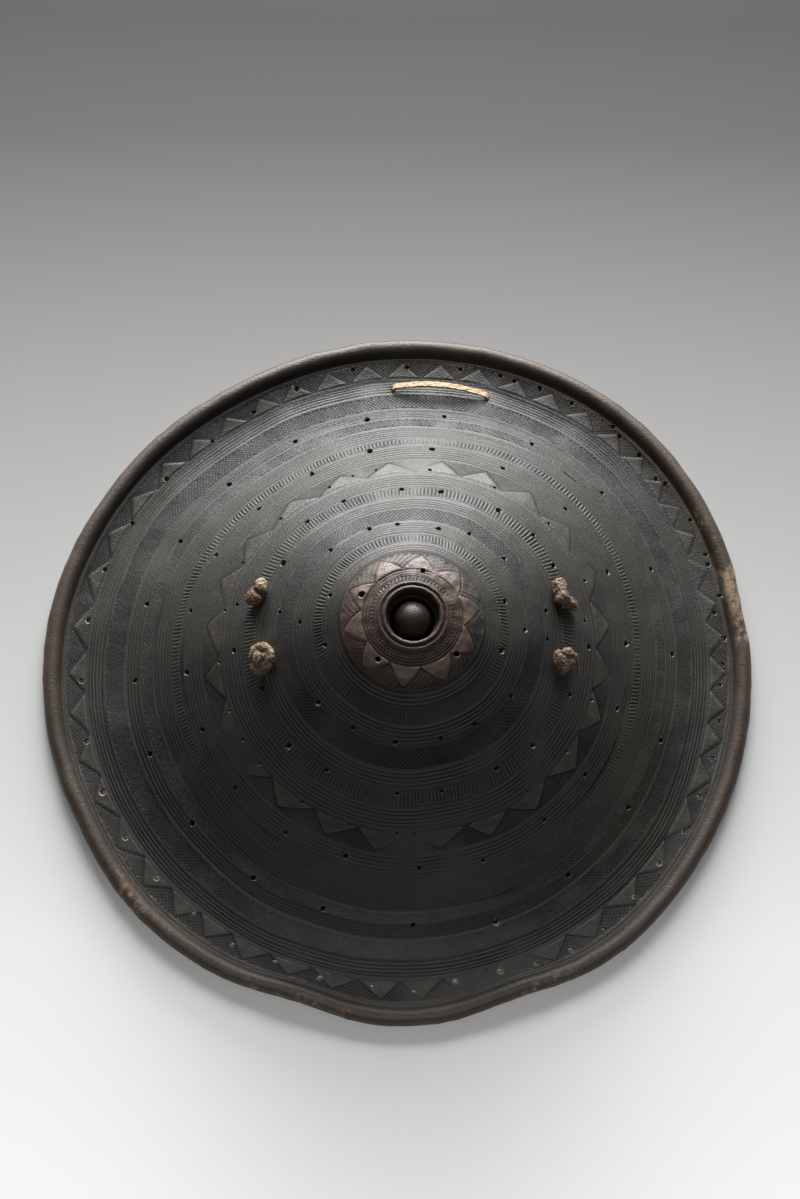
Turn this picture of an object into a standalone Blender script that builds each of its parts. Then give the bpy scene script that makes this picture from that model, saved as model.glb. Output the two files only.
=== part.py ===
"""A round moulded hide shield, lying face up: +Z out of the boss, +Y towards its top."""
import math

import bmesh
import bpy
from mathutils import Matrix, Vector

# Driving dimensions of the hide, in metres
ROLL_CENTRE = 0.2398          # middle of the rolled rim, from the shield's axis
ROLL_HALF_WIDTH = 0.0064
ROLL_HALF_HEIGHT = 0.0062
ROLL_BENDS = (165.0, 125.0, 90.0, 55.0, 15.0, -25.0)   # facets of the roll, degrees from level
ROLL_FOOT = 0.0006            # the roll's inner foot lies this far in from it and below the flange
REST_LAND = 0.0024            # half the width of the worn flat under the rim
FLANGE_TOP = 0.0070           # face of the flat flange inside the rim
FLANGE_RADIUS = 0.2310
EASE_RADIUS = 0.1600          # outside this the straight flank eases into the flange
FLANK_SLOPE = 0.86
HIDE = 0.0042                 # thickness of the hide
TERRACE = 0.0006              # how far each tooled band is levelled off the flank
GROOVED_SINK = 0.0008         # the grooved zones lie this much below the tooled bands
BAND_STEP = 0.0012            # width of the step at each band's edge
LEAN = 0.0048                 # the boss stands this far to the right of the rim's middle

# Inner and outer radius of each tooled band; plain grooves run between them
BANDS = {
    "first_ladder": (0.0580, 0.0660),
    "first_lattice": (0.0790, 0.0910),
    "second_ladder": (0.1030, 0.1130),
    "large_triangles": (0.1270, 0.1400),
    "third_ladder": (0.1550, 0.1620),
    "herringbone": (0.1740, 0.1810),
    "second_lattice": (0.1910, 0.2030),
    "rim_triangles": (0.2160, 0.2300),
}

# Boss: a knob standing in a cup with a double lip
KNOB_RADIUS = 0.0123
KNOB_CENTRE_Z = 0.1377
CUP_FLOOR_Z = 0.1255
CUP_FLOOR_RADIUS = 0.0138
CUP_FILLET = 0.0020           # height of the rounding all round the cup's floor
KNOB_RING_BENDS = (67.5, 45.0, 22.5, 0.0)   # rings of the knob, degrees above its middle
KNOB_FOOT_INSET = 0.0003
LEDGE_RADIUS = 0.0155
LEDGE_Z = 0.1390
LEDGE_DRAFT = 0.0005          # the cup's wall leans out this much on its way up to the ledge
LEDGE_RISE = 0.0010
LIP_EDGE_RADIUS = 0.0172
LIP_RADIUS = 0.0192
LIP_Z = 0.1498
LIP_DRAFT = 0.0006
LIP_ROUNDING = 0.0024         # height of the lip's rounded inner edge
LIP_GROOVE_RADIUS = 0.0210
LIP_GROOVE_DEPTH = 0.0022
SECOND_LIP_RADIUS = 0.0226
SECOND_LIP_Z = 0.1488
COLLAR_RADIUS = 0.0250
COLLAR_Z = 0.1468
SHOULDER_RADIUS = 0.0340
SHOULDER_Z = 0.1427
BOSS_RADIUS = 0.0470
BOSS_GROOVE_WIDTH = 0.0024
BOSS_GROOVE_DEPTH = 0.0010
BOSS_RIM_RISE = 0.0006        # the boss's edge stands this far above the groove round it

# Back of the hide: the radii that its flank is drawn at, then the hollows behind cup and knob
BACK_RADII = (0.2200, 0.2000, 0.1800, 0.1600, 0.1200, 0.0800, 0.0480, 0.0330)
BACK_FLANGE_REACH = 0.0040    # the back of the flange runs this far in under the roll
BACK_COLLAR_DROP = 0.0072
BACK_LIP_RADIUS = 0.0205
BACK_LIP_DROP = 0.0130
BACK_CUP_RADIUS = 0.0180
BACK_CUP_RISE = 0.0010
KNOB_HOLLOW_RADIUS = 0.0078
KNOB_HOLLOW_FLARE = 0.0010
KNOB_HOLLOW_FLARE_RISE = 0.0014
KNOB_HOLLOW_TOP_Z = 0.1420
KNOB_HOLLOW_CROWN = 0.0010    # height of the rounding at the top of the knob's hollow
KNOB_HOLLOW_CROWN_SHARE = 0.6

# Broad warps of the hide: angle in degrees, spread in degrees, push outwards
HIDE_WARPS = [
    (47.0, 30.0, 0.0075),
    (122.0, 26.0, -0.0055),
]
WARP_START = 0.0600
WARP_FULL = 0.1700
# Waves of the rim alone: angle, spread, push outwards, lift off the ground
RIM_WAVES = [
    (12.0, 5.0, -0.0020, 0.0012),
    (-50.0, 12.0, 0.0020, 0.0),
    (-70.0, 8.0, -0.0040, 0.0022),
    (-89.0, 8.0, 0.0020, 0.0),
    (-107.0, 8.0, -0.0044, 0.0024),
    (-134.0, 12.0, 0.0020, 0.0),
    (-154.0, 8.0, -0.0012, 0.0010),
    (118.0, 22.0, -0.0008, 0.0016),
    (152.0, 14.0, -0.0018, 0.0),
]
LIFT_DEADBAND = 0.0003
RIM_WAVE_START = 0.2120
RIM_WAVE_FULL = 0.2380

# Handle: two rawhide thongs across the back, knotted on the face and bound in a grip
THONG_RADIUS = 0.0030
THONG_GAP = 0.0005            # clearance of a thong in its hole
THONG_BEHIND = 0.0045         # each thong turns this far behind the hide's back
THONG_TURN = (0.0075, 0.0030, 0.0040)     # first turn towards the grip: along X, along Y, down
THONG_GATHER = (0.0160, 0.0050, 0.0016)   # last point before the grip: out, apart, up
THONG_MOUTH = (0.0020, 0.0002)            # just outside the grip's end: out, apart
THONG_INSIDE = 0.0100         # the thongs run level from this far inside the grip's end
HANDLE_Y = 0.0070             # the handle lies a little above the shield's middle
# Each knot: X and Y of its hole, turn of its long axis in degrees, half length, half width
KNOTS = {
    ("left", 1): (-0.1010, 0.0315, 40.0, 0.0112, 0.0074),
    ("left", -1): (-0.0965, -0.0150, 80.0, 0.0112, 0.0100),
    ("right", 1): (0.1010, 0.0325, -52.0, 0.0138, 0.0076),
    ("right", -1): (0.1015, -0.0135, -25.0, 0.0118, 0.0098),
}
SIDES = {"left": -1.0, "right": 1.0}
KNOT_HEIGHT = 0.0066          # half height before its seat is flattened
KNOT_SINK = 0.0036            # how far the knot's middle lies above its flat seat
KNOT_SEAT = 0.0003            # gap between the knot and the hide
GRIP_Z = 0.0640
GRIP_HALF_LENGTH = 0.0540
GRIP_HALF_WIDTH = 0.0135
GRIP_HALF_HEIGHT = 0.0085
GRIP_TURNS = 9
GRIP_TURN_DEPTH = 0.0007
GRIP_TAPER = 0.16             # share of its thickness that the grip loses towards each end
GRIP_TAPER_POWER = 3
GRIP_THONG_SPREAD = 0.0056    # each thong from the centre line inside the grip

# Hanging thong: a flat strip standing in a low arch between two slots near the top
STRIP_HALF_WIDTH = 0.0022
STRIP_HALF_THICKNESS = 0.0008
STRIP_GAP = 0.0004
STRIP_LEFT = (90.9, 0.2078)   # angle in degrees and radius of each slot
STRIP_RIGHT = (72.6, 0.2078)
STRIP_RISE = 0.0040
STRIP_ARCH_POWER = 2.6        # a higher power gives the arch a flatter top
STRIP_STATIONS = (0.10, 0.30, 0.50, 0.70, 0.90)
STRIP_CLEAR = 0.0019          # lowest middle line of the strip above the hide's face
STRIP_KNOT = (0.0050, 0.0042, 0.0017)
STRIP_KNOT_DROP = 0.0020      # middle of each back knot below the hide

# Facets
SEGMENTS = 60
BOSS_SEGMENTS = 30
THONG_SIDES = 8
GRIP_SIDES = 12
HOLE_SIDES = 10


def remove_everything():
    for thing in list(bpy.data.objects):
        bpy.data.objects.remove(thing, do_unlink=True)


def ease(low, high, value):
    """Smooth step from 0 at low to 1 at high."""
    t = min(1.0, max(0.0, (value - low) / (high - low)))
    return t * t * (3.0 - 2.0 * t)


def swell(angle, middle, spread):
    """A bell of height 1 around the middle angle, all in degrees."""
    turn = (angle - middle + 180.0) % 360.0 - 180.0
    return math.exp(-(turn / spread) ** 2)


def relief(radius):
    """Offset of the face from the plain flank: levelled tooled bands, sunk grooved zones."""
    edges = []
    for inner, outer in BANDS.values():
        edges.append((inner - BAND_STEP, -TERRACE - GROOVED_SINK))
        edges.append((inner, -TERRACE))
        edges.append((outer, TERRACE))
        edges.append((outer + BAND_STEP, TERRACE - GROOVED_SINK))
    edges[-2] = (edges[-2][0], 0.0)   # the last band runs out level into the flange
    if radius <= edges[0][0]:
        return edges[0][1] * ease(BOSS_RADIUS, edges[0][0], radius)
    for (r0, z0), (r1, z1) in zip(edges, edges[1:-1]):
        if radius <= r1:
            return z0 + (z1 - z0) * (radius - r0) / (r1 - r0)
    return 0.0


def plain_height(radius):
    """Height of the flank without its tooling: straight, then easing into the flange."""
    fade = FLANGE_RADIUS - EASE_RADIUS
    if radius >= FLANGE_RADIUS:
        return FLANGE_TOP
    if radius >= EASE_RADIUS:
        return FLANGE_TOP + FLANK_SLOPE * (FLANGE_RADIUS - radius) ** 2 / (2.0 * fade)
    return FLANGE_TOP + FLANK_SLOPE * (fade / 2.0 + EASE_RADIUS - radius)


def flank_height(radius):
    """Height of the hide's face outside the boss, before its warps."""
    return plain_height(radius) + relief(radius)


def flank_slope(radius):
    fade = FLANGE_RADIUS - EASE_RADIUS
    return FLANK_SLOPE * min(1.0, max(0.0, (FLANGE_RADIUS - radius) / fade))


def place(radius, height, angle):
    """Point of the warped shield; the angle is in degrees from +X."""
    reach = ease(WARP_START, WARP_FULL, radius)
    push = reach * sum(amount * swell(angle, middle, spread) for middle, spread, amount in HIDE_WARPS)
    rim = ease(RIM_WAVE_START, RIM_WAVE_FULL, radius)
    push += rim * sum(out * swell(angle, middle, spread) for middle, spread, out, _ in RIM_WAVES)
    lift = sum(up * swell(angle, middle, spread) for middle, spread, _, up in RIM_WAVES)
    height += rim * max(0.0, lift - LIFT_DEADBAND)
    shift = LEAN * (1.0 - ease(EASE_RADIUS, RIM_WAVE_START, radius))
    turn = math.radians(angle)
    out = radius + push
    return Vector((shift + out * math.cos(turn), out * math.sin(turn), height))


def plain_point(radius, angle):
    return place(radius, plain_height(radius), angle)


def plain_normal(radius, angle, step=0.001, turn=0.5):
    across = plain_point(radius + step, angle) - plain_point(radius - step, angle)
    along = plain_point(radius, angle + turn) - plain_point(radius, angle - turn)
    return across.cross(along).normalized()


def boss_profile():
    """Radius and height down from the knob's tip to the boss's edge."""
    points = []
    for bend in KNOB_RING_BENDS:
        turn = math.radians(bend)
        points.append((KNOB_RADIUS * math.cos(turn), KNOB_CENTRE_Z + KNOB_RADIUS * math.sin(turn)))
    points += [
        (KNOB_RADIUS - KNOB_FOOT_INSET, CUP_FLOOR_Z + CUP_FILLET),
        (CUP_FLOOR_RADIUS, CUP_FLOOR_Z),
        (LEDGE_RADIUS - LEDGE_DRAFT, CUP_FLOOR_Z + CUP_FILLET),
        (LEDGE_RADIUS, LEDGE_Z),
        (LIP_EDGE_RADIUS - LIP_DRAFT, LEDGE_Z + LEDGE_RISE),
        (LIP_EDGE_RADIUS, LIP_Z - LIP_ROUNDING),
        (LIP_RADIUS, LIP_Z),
        (LIP_GROOVE_RADIUS, LIP_Z - LIP_GROOVE_DEPTH),
        (SECOND_LIP_RADIUS, SECOND_LIP_Z),
        (COLLAR_RADIUS, COLLAR_Z),
        (SHOULDER_RADIUS, SHOULDER_Z),
    ]
    return points


def flank_profile():
    """From the boss's edge out over the tooled bands to the flange."""
    start = BOSS_RADIUS + BOSS_GROOVE_WIDTH
    points = [
        (BOSS_RADIUS, flank_height(BOSS_RADIUS) + BOSS_RIM_RISE),
        (BOSS_RADIUS + BOSS_GROOVE_WIDTH / 2.0, flank_height(start) - BOSS_GROOVE_DEPTH),
        (start, flank_height(start)),
    ]
    edges = []
    for inner, outer in BANDS.values():
        edges += [inner - BAND_STEP, inner, outer, outer + BAND_STEP]
    for radius in edges[:-1]:
        points.append((radius, flank_height(radius)))
    return points


def roll_profile():
    """Over the rolled rim and down to the worn flat that it rests on."""
    points = [(ROLL_CENTRE - ROLL_HALF_WIDTH - ROLL_FOOT, FLANGE_TOP - ROLL_FOOT)]
    for bend in ROLL_BENDS:
        turn = math.radians(bend)
        points.append((
            ROLL_CENTRE + ROLL_HALF_WIDTH * math.cos(turn),
            ROLL_HALF_HEIGHT + ROLL_HALF_HEIGHT * math.sin(turn),
        ))
    points.append((ROLL_CENTRE + REST_LAND, 0.0))
    points.append((ROLL_CENTRE - REST_LAND, 0.0))
    return points


def back_profile():
    """Back of the hide, from the rim in to the hollow behind the knob."""
    points = [(FLANGE_RADIUS + BACK_FLANGE_REACH, FLANGE_TOP - HIDE)]
    for radius in BACK_RADII:
        drop = HIDE * math.hypot(1.0, flank_slope(radius))
        points.append((radius, plain_height(radius) - drop))
    points += [
        (COLLAR_RADIUS, COLLAR_Z - BACK_COLLAR_DROP),
        (BACK_LIP_RADIUS, LIP_Z - BACK_LIP_DROP),
        (BACK_CUP_RADIUS, CUP_FLOOR_Z + BACK_CUP_RISE),
        (CUP_FLOOR_RADIUS, CUP_FLOOR_Z - HIDE),
        (KNOB_HOLLOW_RADIUS + KNOB_HOLLOW_FLARE, CUP_FLOOR_Z - HIDE + KNOB_HOLLOW_FLARE_RISE),
        (KNOB_HOLLOW_RADIUS, KNOB_CENTRE_Z),
        (KNOB_HOLLOW_RADIUS * KNOB_HOLLOW_CROWN_SHARE, KNOB_HOLLOW_TOP_Z - KNOB_HOLLOW_CROWN),
    ]
    return points


def ring(mesh, radius, height, count):
    return [mesh.verts.new(place(radius, height, 360.0 * i / count)) for i in range(count)]


def bridge(mesh, inner, outer):
    """Faces between two rings; the outer one may have twice the corners."""
    count = len(inner)
    for i in range(count):
        j = (i + 1) % count
        if len(outer) == count:
            mesh.faces.new((inner[i], outer[i], outer[j], inner[j]))
        else:
            a, b, c = outer[2 * i], outer[2 * i + 1], outer[(2 * i + 2) % len(outer)]
            mesh.faces.new((inner[i], a, b))
            mesh.faces.new((inner[i], b, inner[j]))
            mesh.faces.new((inner[j], b, c))


def cap(mesh, loop, height):
    """Close a ring with a fan around the shield's axis."""
    tip = mesh.verts.new(place(0.0, height, 0.0))
    for i, corner in enumerate(loop):
        mesh.faces.new((tip, corner, loop[(i + 1) % len(loop)]))


def finish_mesh(mesh, name, material, sharp=35.0):
    """Turn a bmesh into a named object, faces out, shaded smooth."""
    bmesh.ops.recalc_face_normals(mesh, faces=mesh.faces)
    data = bpy.data.meshes.new(name)
    mesh.to_mesh(data)
    mesh.free()
    data.shade_smooth()
    data.set_sharp_from_angle(angle=math.radians(sharp))
    data.materials.append(material)
    thing = bpy.data.objects.new(name, data)
    bpy.context.scene.collection.objects.link(thing)
    return thing


def leather(name, colour, roughness):
    material = bpy.data.materials.new(name)
    material.use_nodes = True
    shader = material.node_tree.nodes["Principled BSDF"]
    shader.inputs["Base Color"].default_value = (*colour, 1.0)
    shader.inputs["Roughness"].default_value = roughness
    shader.inputs["Metallic"].default_value = 0.0
    return material


def hide_shell(material):
    """The whole moulded hide: knob, cup, flank, flange and rolled rim."""
    mesh = bmesh.new()
    boss = [ring(mesh, r, z, BOSS_SEGMENTS) for r, z in boss_profile()]
    outside = [ring(mesh, r, z, SEGMENTS) for r, z in flank_profile() + roll_profile()]
    back = back_profile()
    wide = [ring(mesh, r, z, SEGMENTS) for r, z in back if r > SHOULDER_RADIUS]
    narrow = [ring(mesh, r, z, BOSS_SEGMENTS) for r, z in back if r <= SHOULDER_RADIUS]
    cap(mesh, boss[0], KNOB_CENTRE_Z + KNOB_RADIUS)
    for first, second in zip(boss, boss[1:]):
        bridge(mesh, first, second)
    bridge(mesh, boss[-1], outside[0])
    loops = outside + wide
    for first, second in zip(loops, loops[1:]):
        bridge(mesh, first, second)
    bridge(mesh, narrow[0], wide[-1])
    for first, second in zip(narrow, narrow[1:]):
        bridge(mesh, first, second)
    cap(mesh, narrow[-1], KNOB_HOLLOW_TOP_Z)
    return finish_mesh(mesh, "hide_shell", material)


def sweep(mesh, points, section, sides_of):
    """Closed bar along the points; sides_of gives the two cross axes for a direction."""
    loops = []
    for behind, point, ahead in zip(points[:1] + points, points, points[1:] + points[-1:]):
        across, up = sides_of((ahead - behind).normalized())
        loops.append([mesh.verts.new(point + across * a + up * b) for a, b in section])
    for first, second in zip(loops, loops[1:]):
        for i in range(len(first)):
            j = (i + 1) % len(first)
            mesh.faces.new((first[i], first[j], second[j], second[i]))
    mesh.faces.new(loops[0])
    mesh.faces.new(list(reversed(loops[-1])))


def smooth_path(knots, steps):
    """Catmull-Rom curve through the given points."""
    points = []
    padded = [knots[0] * 2.0 - knots[1]] + knots + [knots[-1] * 2.0 - knots[-2]]
    for a, b, c, d in zip(padded, padded[1:], padded[2:], padded[3:]):
        for step in range(steps):
            t = step / steps
            points.append(0.5 * (
                2.0 * b + (c - a) * t + (2.0 * a - 5.0 * b + 4.0 * c - d) * t * t
                + (3.0 * b - a - 3.0 * c + d) * t * t * t
            ))
    points.append(knots[-1])
    return points


def cutter(mesh, name):
    thing = finish_mesh(mesh, name, None)
    thing.hide_render = True
    thing.display_type = "WIRE"
    return thing


def boolean(target, other, operation):
    change = target.modifiers.new(other.name, "BOOLEAN")
    change.operation = operation
    change.object = other
    change.solver = "EXACT"


def knot_site(side, row):
    """Radius and angle of a knot's hole; side is left or right, row 1 above and -1 below."""
    x, y = KNOTS[side, row][:2]
    return math.hypot(x, y), math.degrees(math.atan2(y, x))


def thong_route(row):
    """Centre line of one handle thong, from the left knot to the right one."""
    y_grip = HANDLE_Y + row * GRIP_THONG_SPREAD
    half = {}
    for side, sign in SIDES.items():
        seat = plain_point(*knot_site(side, row))
        normal = plain_normal(*knot_site(side, row))
        under = seat - normal * (HIDE + THONG_BEHIND)
        half[side] = [
            seat + normal * KNOT_HEIGHT,
            seat,
            under,
            under + Vector((-sign * THONG_TURN[0], -row * THONG_TURN[1], -THONG_TURN[2])),
            Vector((
                sign * (GRIP_HALF_LENGTH + THONG_GATHER[0]),
                y_grip + row * THONG_GATHER[1],
                GRIP_Z + THONG_GATHER[2],
            )),
            Vector((sign * (GRIP_HALF_LENGTH + THONG_MOUTH[0]), y_grip + row * THONG_MOUTH[1], GRIP_Z)),
            Vector((sign * (GRIP_HALF_LENGTH - THONG_INSIDE), y_grip, GRIP_Z)),
        ]
    return half["left"] + half["right"][::-1]


def round_section(radius, sides):
    turns = [2.0 * math.pi * i / sides for i in range(sides)]
    return [(radius * math.cos(t), radius * math.sin(t)) for t in turns]


def level_frame(along):
    """Cross axes of a bar that runs mostly along X: one near Y, one square to both."""
    across = Vector((0.0, 1.0, 0.0))
    across = (across - along * across.dot(along)).normalized()
    return across, along.cross(across)


def lump(mesh, centre, half_sizes, axes, rows=6, sides=10, seat=None):
    """A closed egg-shaped body on its own three axes, cut flat at seat below its middle."""
    made = bmesh.ops.create_uvsphere(mesh, u_segments=sides, v_segments=rows, radius=1.0)
    if seat is not None:
        for corner in made["verts"]:
            corner.co.z = max(corner.co.z, -seat / half_sizes[2])
    basis = Matrix(axes).transposed().to_4x4()
    shape = Matrix.Translation(centre) @ basis @ Matrix.Diagonal((*half_sizes, 1.0))
    bmesh.ops.transform(mesh, matrix=shape, verts=made["verts"])


def knot_axes(side, row):
    """Long axis, short axis and normal of a knot lying on the flank."""
    normal = plain_normal(*knot_site(side, row))
    turn = math.radians(KNOTS[side, row][2])
    lay = Vector((math.cos(turn), math.sin(turn), 0.0))
    length = (lay - normal * lay.dot(normal)).normalized()
    return length, normal.cross(length), normal


def handle_thong(name, row, material):
    """One rawhide thong with a knot on the face at each end."""
    mesh = bmesh.new()
    sweep(mesh, smooth_path(thong_route(row), 2), round_section(THONG_RADIUS, THONG_SIDES), level_frame)
    thong = finish_mesh(mesh, name, material, sharp=60.0)
    for side in SIDES:
        mesh = bmesh.new()
        axes = knot_axes(side, row)
        half_length, half_width = KNOTS[side, row][3:]
        seat = plain_point(*knot_site(side, row))
        centre = seat + axes[2] * (TERRACE + KNOT_SEAT + KNOT_SINK)
        lump(mesh, centre, (half_length, half_width, KNOT_HEIGHT), axes, seat=KNOT_SINK)
        knot = cutter(mesh, f"{name}_{side}_knot_shape")
        boolean(thong, knot, "UNION")
    return thong


def thong_hole(side, row):
    """Round hole along the hide's normal under a knot."""
    mesh = bmesh.new()
    normal = plain_normal(*knot_site(side, row))
    seat = plain_point(*knot_site(side, row))
    turn = normal.to_track_quat("Z", "Y").to_matrix().to_4x4()
    middle = Matrix.Translation(seat - normal * HIDE / 2.0) @ turn
    radius = THONG_RADIUS + THONG_GAP
    bmesh.ops.create_cone(
        mesh, cap_ends=True, segments=HOLE_SIDES,
        radius1=radius, radius2=radius, depth=4.0 * HIDE, matrix=middle,
    )
    return cutter(mesh, f"thong_hole_{side}_{row}")


def grip_wrap(material):
    """Leather strip wound round both thongs, drawn as shallow turns."""
    mesh = bmesh.new()
    section = round_section(1.0, GRIP_SIDES)
    loops = []
    rows = 2 * GRIP_TURNS
    for i in range(rows + 1):
        t = i / rows
        x = GRIP_HALF_LENGTH * (2.0 * t - 1.0)
        crown = 1.0 - GRIP_TAPER * abs(2.0 * t - 1.0) ** GRIP_TAPER_POWER
        shrink = GRIP_TURN_DEPTH * (i % 2)
        loops.append([
            mesh.verts.new((
                x,
                HANDLE_Y + (GRIP_HALF_WIDTH * crown - shrink) * a,
                GRIP_Z + (GRIP_HALF_HEIGHT * crown - shrink) * b,
            ))
            for a, b in section
        ])
    for first, second in zip(loops, loops[1:]):
        for i in range(len(first)):
            j = (i + 1) % len(first)
            mesh.faces.new((first[i], first[j], second[j], second[i]))
    mesh.faces.new(loops[0])
    mesh.faces.new(list(reversed(loops[-1])))
    wrap = finish_mesh(mesh, "grip_wrap", material)
    for row in (-1, 1):
        mesh = bmesh.new()
        sweep(
            mesh, smooth_path(thong_route(row), 2),
            round_section(THONG_RADIUS + THONG_GAP, THONG_SIDES), level_frame,
        )
        boolean(wrap, cutter(mesh, f"grip_channel_{row}"), "DIFFERENCE")
    return wrap


def strip_ends():
    """Slot centre, hide normal and direction towards the other slot, left then right."""
    ends = []
    for angle, radius in (STRIP_LEFT, STRIP_RIGHT):
        ends.append((plain_point(radius, angle), plain_normal(radius, angle)))
    along = (ends[1][0] - ends[0][0]).normalized()
    return ends, along


def strip_route():
    """Centre line of the hanging thong, from the left back knot to the right one."""
    ends, along = strip_ends()
    (left, left_up), (right, right_up) = ends
    below = HIDE + STRIP_KNOT_DROP
    route = [left - left_up * below, left - left_up * HIDE * 0.5]
    route.append(left + left_up * STRIP_CLEAR)
    for t in STRIP_STATIONS:
        lift = STRIP_RISE * (1.0 - abs(2.0 * t - 1.0) ** STRIP_ARCH_POWER)
        up = left_up.lerp(right_up, t)
        radius = STRIP_LEFT[1] + (STRIP_RIGHT[1] - STRIP_LEFT[1]) * t
        angle = STRIP_LEFT[0] + (STRIP_RIGHT[0] - STRIP_LEFT[0]) * t
        route.append(plain_point(radius, angle) + up * (STRIP_CLEAR + lift))
    route.append(right + right_up * STRIP_CLEAR)
    route += [right - right_up * HIDE * 0.5, right - right_up * below]
    return route


def strip_frame(along):
    """Cross axes of the flat thong: its width lies across its run, level with the hide."""
    normal = plain_normal(STRIP_LEFT[1], 0.5 * (STRIP_LEFT[0] + STRIP_RIGHT[0]))
    chord = strip_ends()[1]
    width = normal.cross(chord).normalized()
    width = (width - along * width.dot(along)).normalized()
    return width, along.cross(width)


def slot_axes(normal):
    """Direction of the strip's run along the hide, across it, and the hide's normal."""
    chord = strip_ends()[1]
    length = (chord - normal * chord.dot(normal)).normalized()
    return length, normal.cross(length), normal


def hanging_thong(material):
    """Flat thong through both slots, with a knot behind each."""
    mesh = bmesh.new()
    w, t = STRIP_HALF_WIDTH, STRIP_HALF_THICKNESS
    section = [(-w, -t), (w, -t), (w, t), (-w, t)]
    sweep(mesh, smooth_path(strip_route(), 3), section, strip_frame)
    thong = finish_mesh(mesh, "hanging_thong", material)
    for label, (seat, normal) in zip(SIDES, strip_ends()[0]):
        mesh = bmesh.new()
        axes = slot_axes(normal)
        lump(mesh, seat - normal * (HIDE + STRIP_KNOT_DROP), STRIP_KNOT, axes, rows=5, sides=8)
        boolean(thong, cutter(mesh, f"hanging_knot_{label}_shape"), "UNION")
    return thong


def strip_slot(label, seat, normal):
    mesh = bmesh.new()
    basis = Matrix(slot_axes(normal)).transposed().to_4x4()
    size = Matrix.Diagonal((
        2.0 * (STRIP_HALF_THICKNESS + 2.0 * STRIP_GAP),
        2.0 * (STRIP_HALF_WIDTH + STRIP_GAP),
        4.0 * HIDE,
        1.0,
    ))
    middle = Matrix.Translation(seat - normal * HIDE / 2.0)
    bmesh.ops.create_cube(mesh, size=1.0, matrix=middle @ basis @ size)
    return cutter(mesh, f"strip_slot_{label}")


def centre_on_ground(shell):
    """Parent every object to an empty that puts the middle of the outline at the origin."""
    across = [corner.co.x for corner in shell.data.vertices]
    along = [corner.co.y for corner in shell.data.vertices]
    frame = bpy.data.objects.new("shield_frame", None)
    frame.location = (-(min(across) + max(across)) / 2.0, -(min(along) + max(along)) / 2.0, 0.0)
    for thing in bpy.context.scene.objects:
        thing.parent = frame
    bpy.context.scene.collection.objects.link(frame)


def build():
    remove_everything()
    hide = leather("dark_tooled_hide", (0.045, 0.040, 0.036), 0.48)
    rawhide = leather("pale_rawhide", (0.30, 0.21, 0.13), 0.70)
    binding = leather("brown_binding", (0.16, 0.09, 0.05), 0.62)
    strip = leather("pale_strip", (0.48, 0.33, 0.19), 0.66)
    shell = hide_shell(hide)
    for side, row in KNOTS:
        boolean(shell, thong_hole(side, row), "DIFFERENCE")
    for label, (seat, normal) in zip(SIDES, strip_ends()[0]):
        boolean(shell, strip_slot(label, seat, normal), "DIFFERENCE")
    handle_thong("upper_thong", 1, rawhide)
    handle_thong("lower_thong", -1, rawhide)
    grip_wrap(binding)
    hanging_thong(strip)
    centre_on_ground(shell)


build()
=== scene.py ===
"""A round shield of moulded, tooled hide, lying face up on a pale floor."""
import math

import bmesh
import bpy
import numpy as np
from mathutils import Matrix, Vector


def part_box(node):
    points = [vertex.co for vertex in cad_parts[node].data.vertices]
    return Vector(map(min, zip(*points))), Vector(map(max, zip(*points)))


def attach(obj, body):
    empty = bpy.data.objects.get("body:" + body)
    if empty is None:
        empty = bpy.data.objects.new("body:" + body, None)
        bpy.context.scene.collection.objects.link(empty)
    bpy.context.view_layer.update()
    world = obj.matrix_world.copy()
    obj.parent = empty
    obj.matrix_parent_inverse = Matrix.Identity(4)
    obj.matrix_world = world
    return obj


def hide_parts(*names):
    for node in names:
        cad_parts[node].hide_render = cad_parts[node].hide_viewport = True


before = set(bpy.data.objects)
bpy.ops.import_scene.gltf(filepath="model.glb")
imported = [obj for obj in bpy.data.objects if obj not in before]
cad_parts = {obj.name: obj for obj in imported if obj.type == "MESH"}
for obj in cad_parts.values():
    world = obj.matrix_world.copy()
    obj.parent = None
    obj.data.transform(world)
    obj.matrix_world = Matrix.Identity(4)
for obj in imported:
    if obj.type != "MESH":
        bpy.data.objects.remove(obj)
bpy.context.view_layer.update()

# The hide's driving dimensions, in metres, as its solid has them
ROLL_CENTRE = 0.2398
ROLL_HALF_WIDTH = 0.0062
ROLL_HALF_HEIGHT = 0.0062
REST_LAND = 0.0024
FLANGE_TOP = 0.0070
FLANGE_RADIUS = 0.2310
EASE_RADIUS = 0.1600
FLANK_SLOPE = 0.86
HIDE = 0.0042
TERRACE = 0.0006
GROOVED_SINK = 0.0008
BAND_STEP = 0.0012
LEAN = 0.0048
BANDS = {
    "first_ladder": (0.0580, 0.0660),
    "first_lattice": (0.0790, 0.0910),
    "second_ladder": (0.1030, 0.1130),
    "large_triangles": (0.1270, 0.1400),
    "third_ladder": (0.1550, 0.1620),
    "herringbone": (0.1740, 0.1810),
    "second_lattice": (0.1910, 0.2030),
    "rim_triangles": (0.2160, 0.2300),
}
KNOB_RADIUS = 0.0123
KNOB_CENTRE_Z = 0.1377
CUP_FLOOR_Z = 0.1255
CUP_FLOOR_RADIUS = 0.0138
LEDGE_RADIUS = 0.0155
LEDGE_Z = 0.1390
LIP_EDGE_RADIUS = 0.0172
LIP_RADIUS = 0.0192
LIP_Z = 0.1498
LIP_GROOVE_RADIUS = 0.0210
LIP_GROOVE_DEPTH = 0.0022
SECOND_LIP_RADIUS = 0.0226
SECOND_LIP_Z = 0.1488
COLLAR_RADIUS = 0.0250
COLLAR_Z = 0.1468
SHOULDER_RADIUS = 0.0340
SHOULDER_Z = 0.1427
BOSS_RADIUS = 0.0470
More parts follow.
